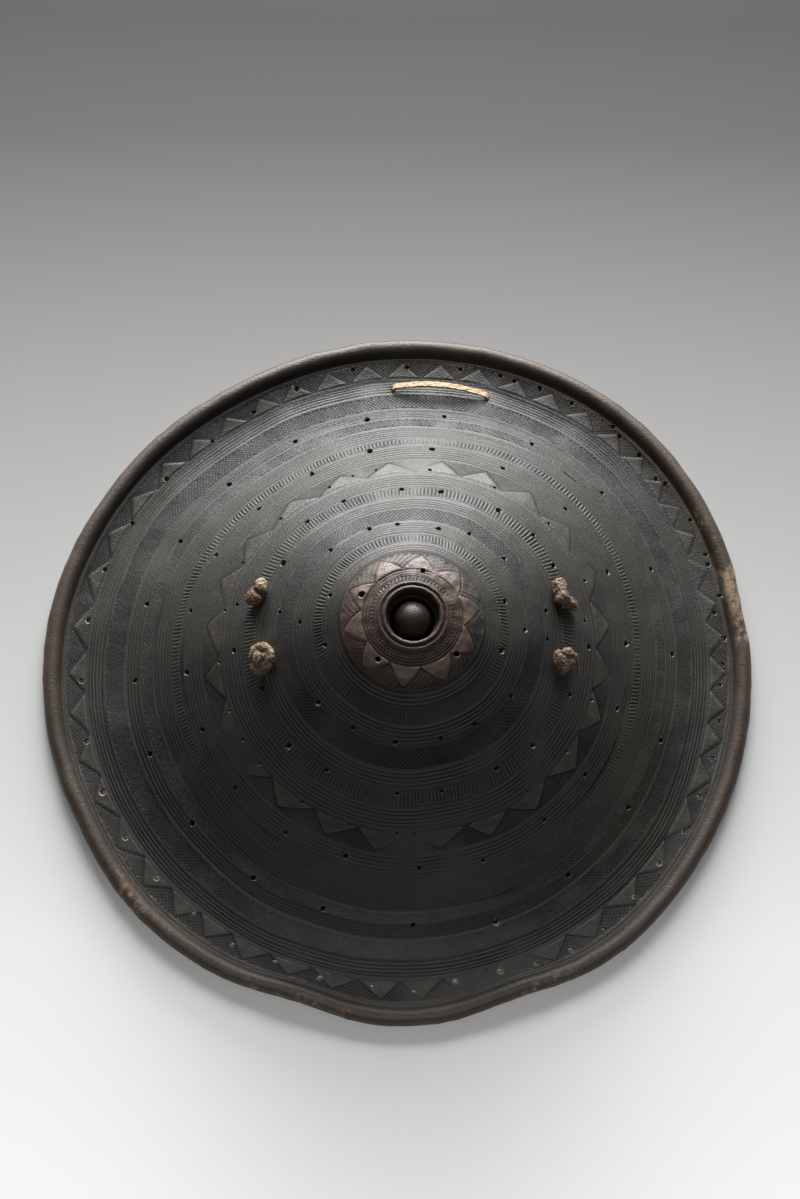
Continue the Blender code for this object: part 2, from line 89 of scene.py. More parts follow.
BOSS_GROOVE_WIDTH = 0.0024
BOSS_RIM_RISE = 0.0006
KNOB_HOLLOW_RADIUS = 0.0078
KNOB_HOLLOW_TOP_Z = 0.1420

# Broad warps of the hide: angle in degrees, spread in degrees, push outwards
HIDE_WARPS = [(47.0, 30.0, 0.0075), (122.0, 26.0, -0.0055)]
WARP_START = 0.0600
WARP_FULL = 0.1700
# Waves of the rim: angle, spread, push outwards, lift off the ground
RIM_WAVES = [
    (12.0, 5.0, -0.0020, 0.0012),
    (-50.0, 12.0, 0.0020, 0.0),
    (-70.0, 8.0, -0.0040, 0.0022),
    (-89.0, 8.0, 0.0020, 0.0),
    (-107.0, 8.0, -0.0044, 0.0024),
    (-134.0, 12.0, 0.0020, 0.0),
    (-154.0, 8.0, -0.0012, 0.0010),
    (118.0, 22.0, -0.0008, 0.0016),
    (152.0, 14.0, -0.0018, 0.0),
]
LIFT_DEADBAND = 0.0003
RIM_WAVE_START = 0.2120
RIM_WAVE_FULL = 0.2380

# Tooling: radii of the incised circles between the bands
CIRCLES = {
    "below_boss": (0.0512, 0.0534, 0.0557),
    "inside_first_lattice": (0.0686, 0.0707, 0.0728, 0.0749, 0.0768),
    "inside_second_ladder": (0.0934, 0.0956, 0.0978, 0.1000),
    "inside_large_triangles": (0.1152, 0.1173, 0.1195, 0.1217, 0.1239),
    "inside_third_ladder": (0.1423, 0.1444, 0.1466, 0.1488, 0.1510, 0.1530),
    "inside_herringbone": (0.1642, 0.1662, 0.1683, 0.1703, 0.1720),
    "inside_second_lattice": (0.1831, 0.1850, 0.1869, 0.1888),
    "inside_rim_triangles": (0.2052, 0.2074, 0.2097, 0.2120, 0.2139),
}
CIRCLE_COUNTS = (120, 132, 140, 150, 160, 170, 180, 190)
CIRCLE_HALF_WIDTH = 0.00062
CIRCLE_DEPTH = 0.00062
CREST_RISE = 0.00008
BORDER_DEPTH = 0.00045
BORDER_ROOM = 0.0011
# Angles of the points of the large triangles: an inner one, then the outer one after it, and so on
LARGE_CORNERS = (
    1.0, 8.7, 16.0, 24.3, 32.6, 39.0, 46.8, 53.5, 60.6, 67.4, 73.9, 79.8, 88.0, 95.5, 103.0, 110.5,
    119.5, 127.0, 138.0, 145.0, 152.5, 158.8, 167.2, 172.7, 183.0, 188.0, 196.3, 203.4, 211.0, 218.5,
    224.4, 231.0, 240.7, 246.3, 254.9, 261.0, 271.0, 279.2, 287.9, 293.7, 301.4, 308.8, 316.5, 324.8,
    334.0, 340.8, 347.9, 354.4,
)
# Angles of the plain triangles of the rim
RIM_PLAIN = (
    0.5, 7.0, 13.0, 19.5, 26.0, 31.5, 37.0, 42.5, 48.5, 55.0, 62.0, 68.4, 75.5, 82.4, 89.1, 95.7, 102.8,
    109.7, 116.1, 123.3, 130.6, 137.7, 146.3, 154.0, 162.6, 172.2, 180.8, 188.0, 196.5, 204.2, 213.4,
    221.2, 228.7, 235.0, 242.4, 250.6, 258.5, 267.0, 274.0, 282.0, 290.0, 298.0, 306.0, 315.0, 323.2,
    332.2, 340.8, 348.0, 354.0,
)


def ease(low, high, value):
    """Smooth step from 0 at low to 1 at high."""
    t = np.clip((np.asarray(value, float) - low) / (high - low), 0.0, 1.0)
    return t * t * (3.0 - 2.0 * t)


def swell(angle, middle, spread):
    """A bell of height 1 around the middle angle, all in degrees."""
    turn = (np.asarray(angle, float) - middle + 180.0) % 360.0 - 180.0
    return np.exp(-(turn / spread) ** 2)


def ripples(seed, shortest, longest, count=18):
    """A smooth random height over the plane, about 1 at its highest, the same on every run."""
    draw = np.random.default_rng(seed)
    reach = np.exp(draw.uniform(math.log(shortest), math.log(longest), count))
    heading = draw.uniform(0.0, 2.0 * math.pi, count)
    phase = draw.uniform(0.0, 2.0 * math.pi, count)
    across, along = 2.0 * math.pi * np.cos(heading) / reach, 2.0 * math.pi * np.sin(heading) / reach
    share = math.sqrt(2.0 / count) * 0.6

    def height(x, y):
        x, y = np.asarray(x, float), np.asarray(y, float)
        total = sum(np.sin(a * x + b * y + p) for a, b, p in zip(across, along, phase))
        return share * total
    return height


def hand(seed, spread, count=7):
    """A smooth random wander round the circle, for lines and marks set out by eye."""
    draw = np.random.default_rng(seed)
    orders = draw.integers(2, 14, count)
    phases = draw.uniform(0.0, 2.0 * math.pi, count)

    def wander(angle):
        turn = np.radians(np.asarray(angle, float))
        total = sum(np.sin(n * turn + p) / math.sqrt(n) for n, p in zip(orders, phases))
        return spread * total / math.sqrt(count) * 1.6
    return wander


broad_lumps = ripples(3, 0.045, 0.140)
small_lumps = ripples(5, 0.012, 0.034, 26)
wear_patches = ripples(8, 0.022, 0.080, 24)
line_drift = ripples(13, 0.060, 0.150, 16)
roll_lumps = ripples(11, 0.010, 0.040, 26)


def band_edges():
    """Radius and offset of every step of the terraced flank."""
    edges = []
    for inner, outer in BANDS.values():
        edges.append((inner - BAND_STEP, -TERRACE - GROOVED_SINK))
        edges.append((inner, -TERRACE))
        edges.append((outer, TERRACE))
        edges.append((outer + BAND_STEP, TERRACE - GROOVED_SINK))
    return edges[:-2] + [(edges[-2][0], 0.0)]


def relief(radius):
    radii, offsets = zip(*band_edges())
    start = ease(BOSS_RADIUS, radii[0], radius)
    return np.interp(radius, radii, offsets) * np.where(np.asarray(radius) < radii[0], start, 1.0)


def plain_height(radius):
    """Height of the flank without its tooling: straight, then easing into the flange."""
    radius = np.asarray(radius, float)
    fade = FLANGE_RADIUS - EASE_RADIUS
    straight = FLANGE_TOP + FLANK_SLOPE * (fade / 2.0 + EASE_RADIUS - radius)
    eased = FLANGE_TOP + FLANK_SLOPE * np.maximum(FLANGE_RADIUS - radius, 0.0) ** 2 / (2.0 * fade)
    return np.where(radius < EASE_RADIUS, straight, eased)


def flank_slope(radius):
    fade = FLANGE_RADIUS - EASE_RADIUS
    return FLANK_SLOPE * np.clip((FLANGE_RADIUS - np.asarray(radius, float)) / fade, 0.0, 1.0)


def push_of(radius, angle):
    reach = ease(WARP_START, WARP_FULL, radius)
    rim = ease(RIM_WAVE_START, RIM_WAVE_FULL, radius)
    push = reach * sum(amount * swell(angle, middle, spread) for middle, spread, amount in HIDE_WARPS)
    return push + rim * sum(out * swell(angle, middle, spread) for middle, spread, out, _ in RIM_WAVES)


def place(radius, height, angle):
    """Points of the warped shield about the hide's own axis; the angle is in degrees from +X."""
    radius, height, angle = np.broadcast_arrays(
        np.asarray(radius, float), np.asarray(height, float), np.asarray(angle, float),
    )
    rim = ease(RIM_WAVE_START, RIM_WAVE_FULL, radius)
    lift = sum(up * swell(angle, middle, spread) for middle, spread, _, up in RIM_WAVES)
    shift = LEAN * (1.0 - ease(EASE_RADIUS, RIM_WAVE_START, radius))
    turn = np.radians(angle)
    out = radius + push_of(radius, angle)
    raised = height + rim * np.maximum(lift - LIFT_DEADBAND, 0.0)
    return np.stack([shift + out * np.cos(turn), out * np.sin(turn), raised], axis=-1)


def hide_origin():
    """Where the hide's axis stands, found from the box of its solid."""
    low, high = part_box("hide_shell")
    solid_facets = np.arange(60) * 6.0
    bend = math.radians(15.0)
    outline = place(ROLL_CENTRE + 0.0064 * math.cos(bend), 0.0, solid_facets)
    middle = (outline.min(axis=0) + outline.max(axis=0)) / 2.0
    return np.array([(low.x + high.x) / 2.0 - middle[0], (low.y + high.y) / 2.0 - middle[1], 0.0])


ORIGIN = hide_origin()


def plain_point(radius, angle):
    return Vector(place(radius, plain_height(radius), angle) + ORIGIN)


def plain_normal(radius, angle, step=0.001, turn=0.5):
    across = plain_point(radius + step, angle) - plain_point(radius - step, angle)
    along = plain_point(radius, angle + turn) - plain_point(radius, angle - turn)
    return across.cross(along).normalized()


# Handle: X and Y of each knot's hole from the hide's axis, turn of the knot, half length, half width
KNOTS = {
    ("left", 1): (-0.1010, 0.0315, 40.0, 0.0112, 0.0074),
    ("left", -1): (-0.0965, -0.0150, 80.0, 0.0112, 0.0100),
    ("right", 1): (0.1010, 0.0325, -52.0, 0.0138, 0.0076),
    ("right", -1): (0.1015, -0.0135, -25.0, 0.0118, 0.0098),
}


def knot_pull(x, y):
    """How far the hide is drawn down round the knots and between each pair."""
    depth = 0.0
    for (side, row), (knot_x, knot_y, *_) in KNOTS.items():
        depth = depth + 0.0009 * np.exp(-(((x - knot_x) ** 2 + (y - knot_y) ** 2) / 0.0100 ** 2))
    for side in ("left", "right"):
        middle_x = (KNOTS[side, 1][0] + KNOTS[side, -1][0]) / 2.0
        middle_y = (KNOTS[side, 1][1] + KNOTS[side, -1][1]) / 2.0
        depth = depth + 0.0013 * np.exp(-((x - middle_x) / 0.0100) ** 2 - ((y - middle_y) / 0.0140) ** 2)
    return depth


def tooling(radius, angle):
    """How sharp the tooling still is, from 1 where it is crisp down to 0 where it is worn away."""
    turn = np.radians(angle)
    x, y = radius * np.cos(turn), radius * np.sin(turn)
    kept = 0.86 + 0.34 * wear_patches(x, y)
    lower = swell(angle, -92.0, 30.0) * ease(0.140, 0.160, radius) * (1.0 - ease(0.200, 0.214, radius))
    right = swell(angle, -27.0, 9.0) * ease(0.158, 0.164, radius) * (1.0 - ease(0.176, 0.184, radius))
    corner = swell(angle, -40.0, 7.0) * ease(0.178, 0.184, radius) * (1.0 - ease(0.192, 0.198, radius))
    upper = swell(angle, 84.0, 9.0) * ease(0.156, 0.160, radius) * (1.0 - ease(0.168, 0.174, radius))
    first = swell(angle, -70.0, 34.0) * ease(0.056, 0.060, radius) * (1.0 - ease(0.064, 0.067, radius))
    large = ease(0.1265, 0.1280, radius) * (1.0 - ease(0.1390, 0.1405, radius))
    large = large * np.minimum(1.0, sum(swell(angle, middle, 8.0) for middle in (86.0, -90.0, -149.0)))
    rim = ease(0.2150, 0.2180, radius) * swell(angle, -72.0, 12.0)
    beaten = ease(0.2030, 0.2080, radius) * swell(angle, 22.0, 13.0)
    worn = np.maximum.reduce([
        0.85 * lower, 0.9 * right, 0.8 * corner, 0.75 * upper, 0.75 * first, 0.8 * large, 0.8 * rim,
        0.45 * beaten,
    ])
    return np.clip(kept, 0.35, 1.1) * (1.0 - worn)


class HideMesh:
    """Rings of points joined outwards, over the roll and back in along the flesh side."""

    def __init__(self):
        self.points = []
        self.cuts = []
        self.tints = []
        self.faces = []
        self.total = 0

    def ring(self, points, angles, cut, tint=0.0):
        """Add one closed ring; cut is how deep or proud each point is, tint marks a plain paler figure."""
        loop = {"first": self.total, "angles": angles, "count": len(points)}
        self.points.append(points)
        self.cuts.append(np.broadcast_to(np.asarray(cut, float), (len(points),)))
        self.tints.append(np.broadcast_to(np.asarray(tint, float), (len(points),)))
        self.total += len(points)
        return loop

    def face_ring(self, radius, angles, rise=0.0, wander=None, tint=0.0):
        """A ring on the tooled face; rise is along the face's normal, before wear."""
        radii = np.full(len(angles), radius)
        if wander is not None:
            radii = radii + wander(angles)
        turn = np.radians(angles)
        x, y = radii * np.cos(turn), radii * np.sin(turn)
        radii = radii + 0.00045 * line_drift(x, y)
        sagging = ease(0.2000, 0.2080, radius) * (1.0 - ease(0.2130, 0.2190, radius))
        radii = radii + 0.0020 * sagging * swell(angles, -36.0, 12.0)
        rise = np.asarray(rise, float) * tooling(radii, angles)
        slope = flank_slope(radii)
        lean = 1.0 / np.hypot(1.0, slope)
        lumps = 0.00035 * broad_lumps(x, y) + 0.00012 * small_lumps(x, y)
        lifted = rise + lumps - knot_pull(x, y)
        height = plain_height(radii) + relief(radius) + lifted * lean
        points = place(radii + lifted * slope * lean, height, angles)
        return self.ring(points, angles, rise / CIRCLE_DEPTH, tint)

    def join(self, inner, outer, slant="square", row=0):
        """Faces between two rings. Rings of one count may be slanted to follow a pattern."""
        a, b, n = inner["first"], outer["first"], inner["count"]
        if n != outer["count"]:
            self.zip_up(inner, outer)
            return
        i = np.arange(n)
        j = (i + 1) % n
        if slant == "square":
            self.faces.append(np.stack([a + i, b + i, b + j, a + j], axis=1))
            return
        forward = {"diamond": (i + row) % 2 == 0, "left": i >= 0, "right": i < 0}[slant]
        f, g = i[forward], i[~forward]
        fj, gj = (f + 1) % n, (g + 1) % n
        self.faces.append(np.stack([a + f, b + f, b + fj], axis=1))
        self.faces.append(np.stack([a + f, b + fj, a + fj], axis=1))
        self.faces.append(np.stack([a + g, b + g, a + gj], axis=1))
        self.faces.append(np.stack([a + gj, b + g, b + gj], axis=1))

    def zip_up(self, inner, outer):
        """Triangles between two rings of different counts."""
        n, m = inner["count"], outer["count"]
        a = np.append(inner["angles"], inner["angles"][0] + 360.0)
        lead = (outer["angles"] - a[0] + 180.0) % 360.0 - 180.0
        start = int(np.argmin(np.abs(lead)))
        b = a[0] + lead[start] + (np.roll(outer["angles"], -start) - outer["angles"][start]) % 360.0
        b = np.append(b, b[0] + 360.0)
        triangles = []
        i = k = 0
        while i < n or k < m:
            p, q = inner["first"] + i % n, outer["first"] + (start + k) % m
            if k == m or (i < n and a[i + 1] <= b[k + 1]):
                triangles.append((p, q, inner["first"] + (i + 1) % n))
                i += 1
            else:
                triangles.append((p, q, outer["first"] + (start + k + 1) % m))
                k += 1
        self.faces.append(np.array(triangles))

    def fan(self, loop, point, inwards):
        """Close a ring round one point; inwards where the ring is the last one."""
        tip = self.total
        self.points.append(np.array([point], float))
        self.cuts.append(np.zeros(1))
        self.tints.append(np.zeros(1))
        self.total += 1
        i = np.arange(loop["count"])
        here, there = loop["first"] + i, loop["first"] + (i + 1) % loop["count"]
        corners = [np.full(len(i), tip), there, here] if inwards else [np.full(len(i), tip), here, there]
        self.faces.append(np.stack(corners, axis=1))


def round_turn(count, start=0.0):
    """Evenly spaced angles, in degrees."""
    return start + np.arange(count) * 360.0 / count


def circles(hide, last, radii, count, seed):
    """Incised circles, each a V with soft shoulders, joined on from the last ring."""
    drift = hand(seed, 0.00022)
    for index, radius in enumerate(radii):
        own = hand(seed + 10 * index + 1, 0.00014)
        press = hand(seed + 10 * index + 2, 0.30)

        def wander(angles, own=own):
            return drift(angles) + own(angles)
        angles = round_turn(count)
        depth = CIRCLE_DEPTH * np.clip(1.0 + press(angles), 0.35, 1.5)
        for offset, rise in ((-1.0, CREST_RISE), (0.0, -depth), (1.0, CREST_RISE)):
            ring = hide.face_ring(radius + offset * CIRCLE_HALF_WIDTH, angles, rise, wander=wander)
            hide.join(last, ring)
            last = ring
    return last


def band_start(hide, last, radius, count):
    """The step up on to a band and the fine line that borders it."""
    for offset, rise in ((-BAND_STEP, 0.0), (0.0, CREST_RISE), (0.0006, -BORDER_DEPTH)):
        ring = hide.face_ring(radius + offset, round_turn(count), rise)
        hide.join(last, ring)
        last = ring
    return last


def band_end(hide, last, radius, count):
    for offset, rise in ((-0.0006, -BORDER_DEPTH), (0.0, CREST_RISE), (BAND_STEP, 0.0)):
        ring = hide.face_ring(radius + offset, round_turn(count), rise)
        hide.join(last, ring)
        last = ring
    return last


def row_radius(inner, outer, share):
    """Radius of a row of marks, clear of the band's border lines."""
    return inner + BORDER_ROOM + (outer - inner - 2.0 * BORDER_ROOM) * share


def ladder(hide, last, band, marks, depth, seed, slant):
    """Short marks across a band, like the rungs of a ladder; slant is their lean in degrees."""
    shift = hand(seed, 0.45 * 360.0 / marks)
    lean = hand(seed + 1, 0.5 * 360.0 / marks)
    sites = np.arange(4 * marks)
    draw = np.random.default_rng(seed)
    strength = 0.70 + 0.45 * draw.random(marks)
    profile = np.array([-1.0, -0.05, 0.22, -0.05])
    rungs = depth * profile[sites % 4] * strength[((sites + 1) // 4) % marks]
    even = round_turn(4 * marks)
    for row, share in enumerate((0.0, 0.16, 0.84, 1.0)):
        angles = even + shift(even) + (share - 0.5) * (lean(even) + slant(even))
        rise = rungs * (0.2 if row in (0, 3) else 1.0)
        ring = hide.face_ring(row_radius(*band, share), angles, rise)
        hide.join(last, ring)
        last = ring
    return last


def lattice(hide, last, band, pitches, rows, depth, seed):
    """Crossing diagonal lines that leave small diamonds standing."""
    sites = np.arange(2 * pitches)
    shift = hand(seed, 0.5 * 360.0 / pitches)
    even = round_turn(2 * pitches)
    draw = np.random.default_rng(seed)
    press = hand(seed + 1, 0.22)
    for row in range(rows + 1):
        low = (sites + row) % 2 == 0
        uneven = (1.0 + press(even)) * draw.uniform(0.80, 1.15, 2 * pitches)
        rise = np.where(low, -depth, 0.30 * depth) * uneven
        ring = hide.face_ring(row_radius(*band, row / rows), even + shift(even), rise)
        hide.join(last, ring, "diamond" if row else "square", row - 1)
        last = ring
    return last


def triangles(hide, last, band, corners, rows, depth, border, seed):
    """Hatched triangles, points inwards, with plain ones left between them.

    corners are the angles of the inner and outer points in turn.
    """
    halves = len(corners)
    count = halves * rows
    sites = np.arange(count)
    angles = np.interp(sites / rows, np.arange(halves + 1), list(corners) + [corners[0] + 360.0])
    along = sites % (2 * rows)
    from_axis = np.minimum(along, 2 * rows - along)
    draw = np.random.default_rng(seed)
    for row in range(rows + 1):
        hatched = from_axis < row
        line = hatched & ((sites + row) % 2 == 0)
        rise = np.where(line, -depth, np.where(hatched, 0.25 * depth, 2.5 * CREST_RISE))
        rise = rise * draw.uniform(0.80, 1.15, count)
        rise = np.where(from_axis == row, -border, rise)
        plain = np.where(hatched | (from_axis == row), 0.0, 0.5)
        ring = hide.face_ring(row_radius(*band, row / rows), angles, rise, tint=plain)
        hide.join(last, ring, "diamond" if row else "square", row - 1)
        last = ring
    return last


def curve_through(stops, steps):
    """Points of a smooth curve through a profile's stops."""
    stops = [np.array(stop, float) for stop in stops]
    padded = [2.0 * stops[0] - stops[1]] + stops + [2.0 * stops[-1] - stops[-2]]
    points = []
    for a, b, c, d in zip(padded, padded[1:], padded[2:], padded[3:]):
        for step in range(steps):
            t = step / steps
            points.append(0.5 * (
                2.0 * b + (c - a) * t + (2.0 * a - 5.0 * b + 4.0 * c - d) * t * t
                + (3.0 * b - a - 3.0 * c + d) * t ** 3
            ))
    return points + [stops[-1]]


def boss(hide):
    """Knob, cup, double lip and collar, down to the chevrons; returns the last ring."""
    count = 96
    profile = []
    for bend in (78.0, 66.0, 54.0, 42.0, 30.0, 18.0, 6.0, -8.0, -22.0):
        turn = math.radians(bend)
        profile.append((KNOB_RADIUS * math.cos(turn), KNOB_CENTRE_Z + KNOB_RADIUS * math.sin(turn)))
    profile += curve_through([
        (KNOB_RADIUS - 0.0004, CUP_FLOOR_Z + 0.0030),
        (KNOB_RADIUS + 0.0005, CUP_FLOOR_Z + 0.0002),
        (CUP_FLOOR_RADIUS, CUP_FLOOR_Z),
        (LEDGE_RADIUS - 0.0007, CUP_FLOOR_Z + 0.0020),
        (LEDGE_RADIUS - 0.0003, LEDGE_Z - 0.0008),
        (LEDGE_RADIUS + 0.0003, LEDGE_Z),
        (LIP_EDGE_RADIUS - 0.0006, LEDGE_Z + 0.0010),
        (LIP_EDGE_RADIUS, LIP_Z - 0.0024),
    ], 2)
    profile += curve_through([
        (LIP_EDGE_RADIUS + 0.0007, LIP_Z - 0.0008),
        (LIP_RADIUS - 0.0003, LIP_Z),
        (LIP_RADIUS + 0.0009, LIP_Z - 0.0006),
        (LIP_GROOVE_RADIUS, LIP_Z - LIP_GROOVE_DEPTH),
        (LIP_GROOVE_RADIUS + 0.0008, SECOND_LIP_Z - 0.0005),
        (SECOND_LIP_RADIUS, SECOND_LIP_Z),
        (SECOND_LIP_RADIUS + 0.0010, SECOND_LIP_Z - 0.0006),
        (COLLAR_RADIUS - 0.0006, COLLAR_Z - 0.0004),
    ], 2)
    angles = np.arange(count) * 360.0 / count
    first = last = None
    for radius, height in profile:
        x, y = radius * np.cos(np.radians(angles)), radius * np.sin(np.radians(angles))
        uneven = 0.00016 * small_lumps(3.0 * x, 3.0 * y) * ease(0.004, 0.012, radius)
        ring = hide.ring(place(radius + uneven, height - np.abs(uneven), angles), angles, 0.0)
        if last is None:
            first = ring
        else:
            hide.join(last, ring)
        last = ring
    hide.fan(first, place(0.0, KNOB_CENTRE_Z + KNOB_RADIUS, 0.0), False)
    return last


def collar_height(radius):
    """Height of the boss outside its cup: collar, shoulder and edge."""
    stops = (COLLAR_RADIUS - 0.0006, COLLAR_RADIUS, 0.0290, SHOULDER_RADIUS, 0.0405, BOSS_RADIUS)
    edge = float(plain_height(BOSS_RADIUS)) + BOSS_RIM_RISE
    heights = (COLLAR_Z - 0.0004, COLLAR_Z, 0.1451, SHOULDER_Z, 0.5 * (SHOULDER_Z + edge) + 0.0011, edge)
    return np.interp(radius, stops, heights)


def collar_ring(hide, radius, angles, rise, tint=0.0):
    x, y = radius * np.cos(np.radians(angles)), radius * np.sin(np.radians(angles))
    uneven = 0.00022 * small_lumps(2.0 * x, 2.0 * y)
    rise = np.asarray(rise, float) * np.clip(0.9 + 0.4 * wear_patches(2.0 * x, 2.0 * y), 0.3, 1.2)
    height = collar_height(radius) + rise + uneven
    return hide.ring(place(radius + 0.35 * rise, height, angles), angles, rise / CIRCLE_DEPTH, tint)


def boss_face(hide, last):
    """Chevrons, fine circles and the ring of triangles on the boss."""
    marks = 64
    sites = np.arange(2 * marks)
    even = round_turn(2 * marks)
    for radius, rise in ((COLLAR_RADIUS, 0.0001), (0.0254, -0.00045)):
        ring = collar_ring(hide, radius, even, rise)
        hide.join(last, ring)
        last = ring
    for row, radius in enumerate((0.0260, 0.0272, 0.0284)):
        rise = np.where((sites + row) % 2 == 0, -0.00055, 0.00030)
        ring = collar_ring(hide, radius, even, rise)
        hide.join(last, ring, ("left", "right")[row % 2] if row else "square")
        last = ring
    for middle in (0.0293, 0.0312, 0.0331):
        for offset, rise in ((-0.0006, 0.00012), (0.0, -0.00050), (0.0006, 0.00012)):
            ring = collar_ring(hide, middle + offset, even, rise)
            hide.join(last, ring)
            last = ring
    periods, rows = 10, 12
    count = periods * 2 * rows
    sites = np.arange(count)
    wander = hand(61, 1.2)
    angles = round_turn(count, -8.0)
    angles = angles + wander(angles)
    along = sites % (2 * rows)
    from_axis = np.minimum(along, 2 * rows - along)
    for row in range(rows + 1):
        radius = 0.0344 + (0.0460 - 0.0344) * row / rows
        hatched = from_axis < row
        line = hatched & ((sites + row) % 4 < 2)
        rise = np.where(line, -0.00030, np.where(hatched, 0.00005, 0.00045))
        rise = np.where(from_axis == row, -0.00060, rise)
        plain = np.where(hatched | (from_axis == row), 0.0, 1.0)
        ring = collar_ring(hide, radius, angles, rise, plain)
        hide.join(last, ring, "left" if row else "square")
        last = ring
    for radius, rise in ((0.0465, -0.0004), (BOSS_RADIUS, 0.0003)):
        ring = collar_ring(hide, radius, angles, rise)
        hide.join(last, ring)
        last = ring
    return last


def face_of_flank(hide, last):
    """Every incised circle and tooled band from the boss out to the flange."""
    groove = hide.face_ring(BOSS_RADIUS + BOSS_GROOVE_WIDTH / 2.0, round_turn(CIRCLE_COUNTS[0]), -0.0011)
    hide.join(last, groove)
    last = groove

    def upright(angles):
        return 0.0 * angles

    def leaning(angles):
        return 1.6 * swell(angles, 69.0, 9.0)

    def lower_lean(angles):
        return -1.1 * swell(angles, -66.0, 12.0)
    rim_corners = []
    for here, there in zip(RIM_PLAIN, RIM_PLAIN[1:] + (RIM_PLAIN[0] + 360.0,)):
        rim_corners += [here, 0.5 * (here + there)]
    rim_corners = rim_corners[1:] + [rim_corners[0] + 360.0]
    tools = {
        "first_ladder": lambda ring, band: ladder(hide, ring, band, 164, 0.00078, 21, leaning),
        "first_lattice": lambda ring, band: lattice(hide, ring, band, 190, 7, 0.00064, 31),
        "second_ladder": lambda ring, band: ladder(hide, ring, band, 270, 0.00074, 23, lower_lean),
        "large_triangles": lambda ring, band: triangles(
            hide, ring, band, LARGE_CORNERS, 12, 0.00056, 0.00095, 33,
        ),
        "third_ladder": lambda ring, band: ladder(hide, ring, band, 374, 0.00070, 25, upright),
        "herringbone": lambda ring, band: lattice(hide, ring, band, 394, 4, 0.00050, 35),
        "second_lattice": lambda ring, band: lattice(hide, ring, band, 430, 8, 0.00070, 37),
        "rim_triangles": lambda ring, band: triangles(
            hide, ring, band, rim_corners, 9, 0.00066, 0.00100, 39,
        ),
    }
    zones = zip(CIRCLES.values(), CIRCLE_COUNTS, BANDS.items())
    for index, (radii, count, (name, band)) in enumerate(zones):
        last = circles(hide, last, radii, count, 40 + 7 * index)
        last = band_start(hide, last, band[0], count)
        last = tools[name](last, band)
        after = CIRCLE_COUNTS[min(index + 1, len(CIRCLE_COUNTS) - 1)]
        if name != "rim_triangles":
            last = band_end(hide, last, band[1], after)
    return last


def rolled_rim(hide, last):
    """Flange, pressed line, roll and the worn flat beneath it."""
    count = 224
    angles = np.arange(count) * 360.0 / count
    profile = [
        (0.2296, FLANGE_TOP - 0.0004),
        (0.2302, FLANGE_TOP),
        (0.2314, FLANGE_TOP - 0.0002),
        (0.2324, FLANGE_TOP - 0.0005),
        (0.2330, FLANGE_TOP + 0.0001),
        (0.2335, FLANGE_TOP + 0.0009),
    ]
    for bend in (150.0, 134.0, 118.0, 102.0, 86.0, 70.0, 54.0, 38.0, 22.0, 6.0, -12.0, -32.0, -52.0):
        turn = math.radians(bend)
        profile.append((
            ROLL_CENTRE + ROLL_HALF_WIDTH * math.cos(turn),
            ROLL_HALF_HEIGHT + ROLL_HALF_HEIGHT * math.sin(turn),
        ))
    profile += [
        (ROLL_CENTRE + REST_LAND, 0.0),
        (ROLL_CENTRE - REST_LAND, 0.0),
        (ROLL_CENTRE - REST_LAND - 0.0007, 0.0006),
        (ROLL_CENTRE - REST_LAND - 0.0009, 0.0022),
        (FLANGE_RADIUS + 0.0042, FLANGE_TOP - HIDE + 0.0002),
    ]
    for radius, height in profile:
        turn = np.radians(angles)
        x, y = radius * np.cos(turn), radius * np.sin(turn)
        bulk = ease(0.2330, 0.2350, radius) * ease(0.0, 0.0035, height)
        uneven = bulk * (0.00030 * roll_lumps(x, y) - 0.00025)
        ring = hide.ring(place(radius + uneven, height + 0.5 * uneven, angles), angles, 0.0)
        hide.join(last, ring)
        last = ring
    return last


def flesh_side(hide, last):
    """The plain back of the hide, in to the hollow behind the knob."""
    radii = [0.2320, 0.2260, 0.2200, 0.2120, 0.2040, 0.1960, 0.1880, 0.1800, 0.1700, 0.1600, 0.1500]
    radii += [0.1400, 0.1300, 0.1200, 0.1100, 0.1000, 0.0900, 0.0800, 0.0700, 0.0600, 0.0520, 0.0460]
    radii += [0.0400, 0.0350, 0.0310]
    profile = []
    for radius in radii:
        drop = HIDE * math.hypot(1.0, float(flank_slope(radius)))
        profile.append((radius, float(plain_height(radius)) - drop))
    profile += curve_through([
        (0.0280, COLLAR_Z - 0.0088),
        (COLLAR_RADIUS, COLLAR_Z - 0.0072),
        (0.0205, LIP_Z - 0.0130),
        (0.0180, CUP_FLOOR_Z + 0.0010),
        (0.0160, CUP_FLOOR_Z - 0.0030),
        (CUP_FLOOR_RADIUS, CUP_FLOOR_Z - HIDE),
        (0.0110, CUP_FLOOR_Z - HIDE + 0.0002),
        (KNOB_HOLLOW_RADIUS + 0.0010, CUP_FLOOR_Z - HIDE + 0.0014),
        (KNOB_HOLLOW_RADIUS, KNOB_CENTRE_Z - 0.0080),
        (KNOB_HOLLOW_RADIUS, KNOB_CENTRE_Z),
        (KNOB_HOLLOW_RADIUS * 0.6, KNOB_HOLLOW_TOP_Z - 0.0010),
    ], 2)
    for radius, height in profile:
        count = 108 if radius > 0.0300 else 64
        angles = np.arange(count) * 360.0 / count
        turn = np.radians(angles)
        x, y = radius * np.cos(turn), radius * np.sin(turn)
        reach = ease(0.0300, 0.0500, radius) * (1.0 - ease(0.2200, 0.2320, radius))
        uneven = reach * (0.00035 * broad_lumps(x, y) + 0.00012 * small_lumps(x, y) - knot_pull(x, y))
        ring = hide.ring(place(radius, height + uneven, angles), angles, 0.0)
        hide.join(last, ring)
        last = ring
    hide.fan(last, place(0.0, KNOB_HOLLOW_TOP_Z, 0.0), True)


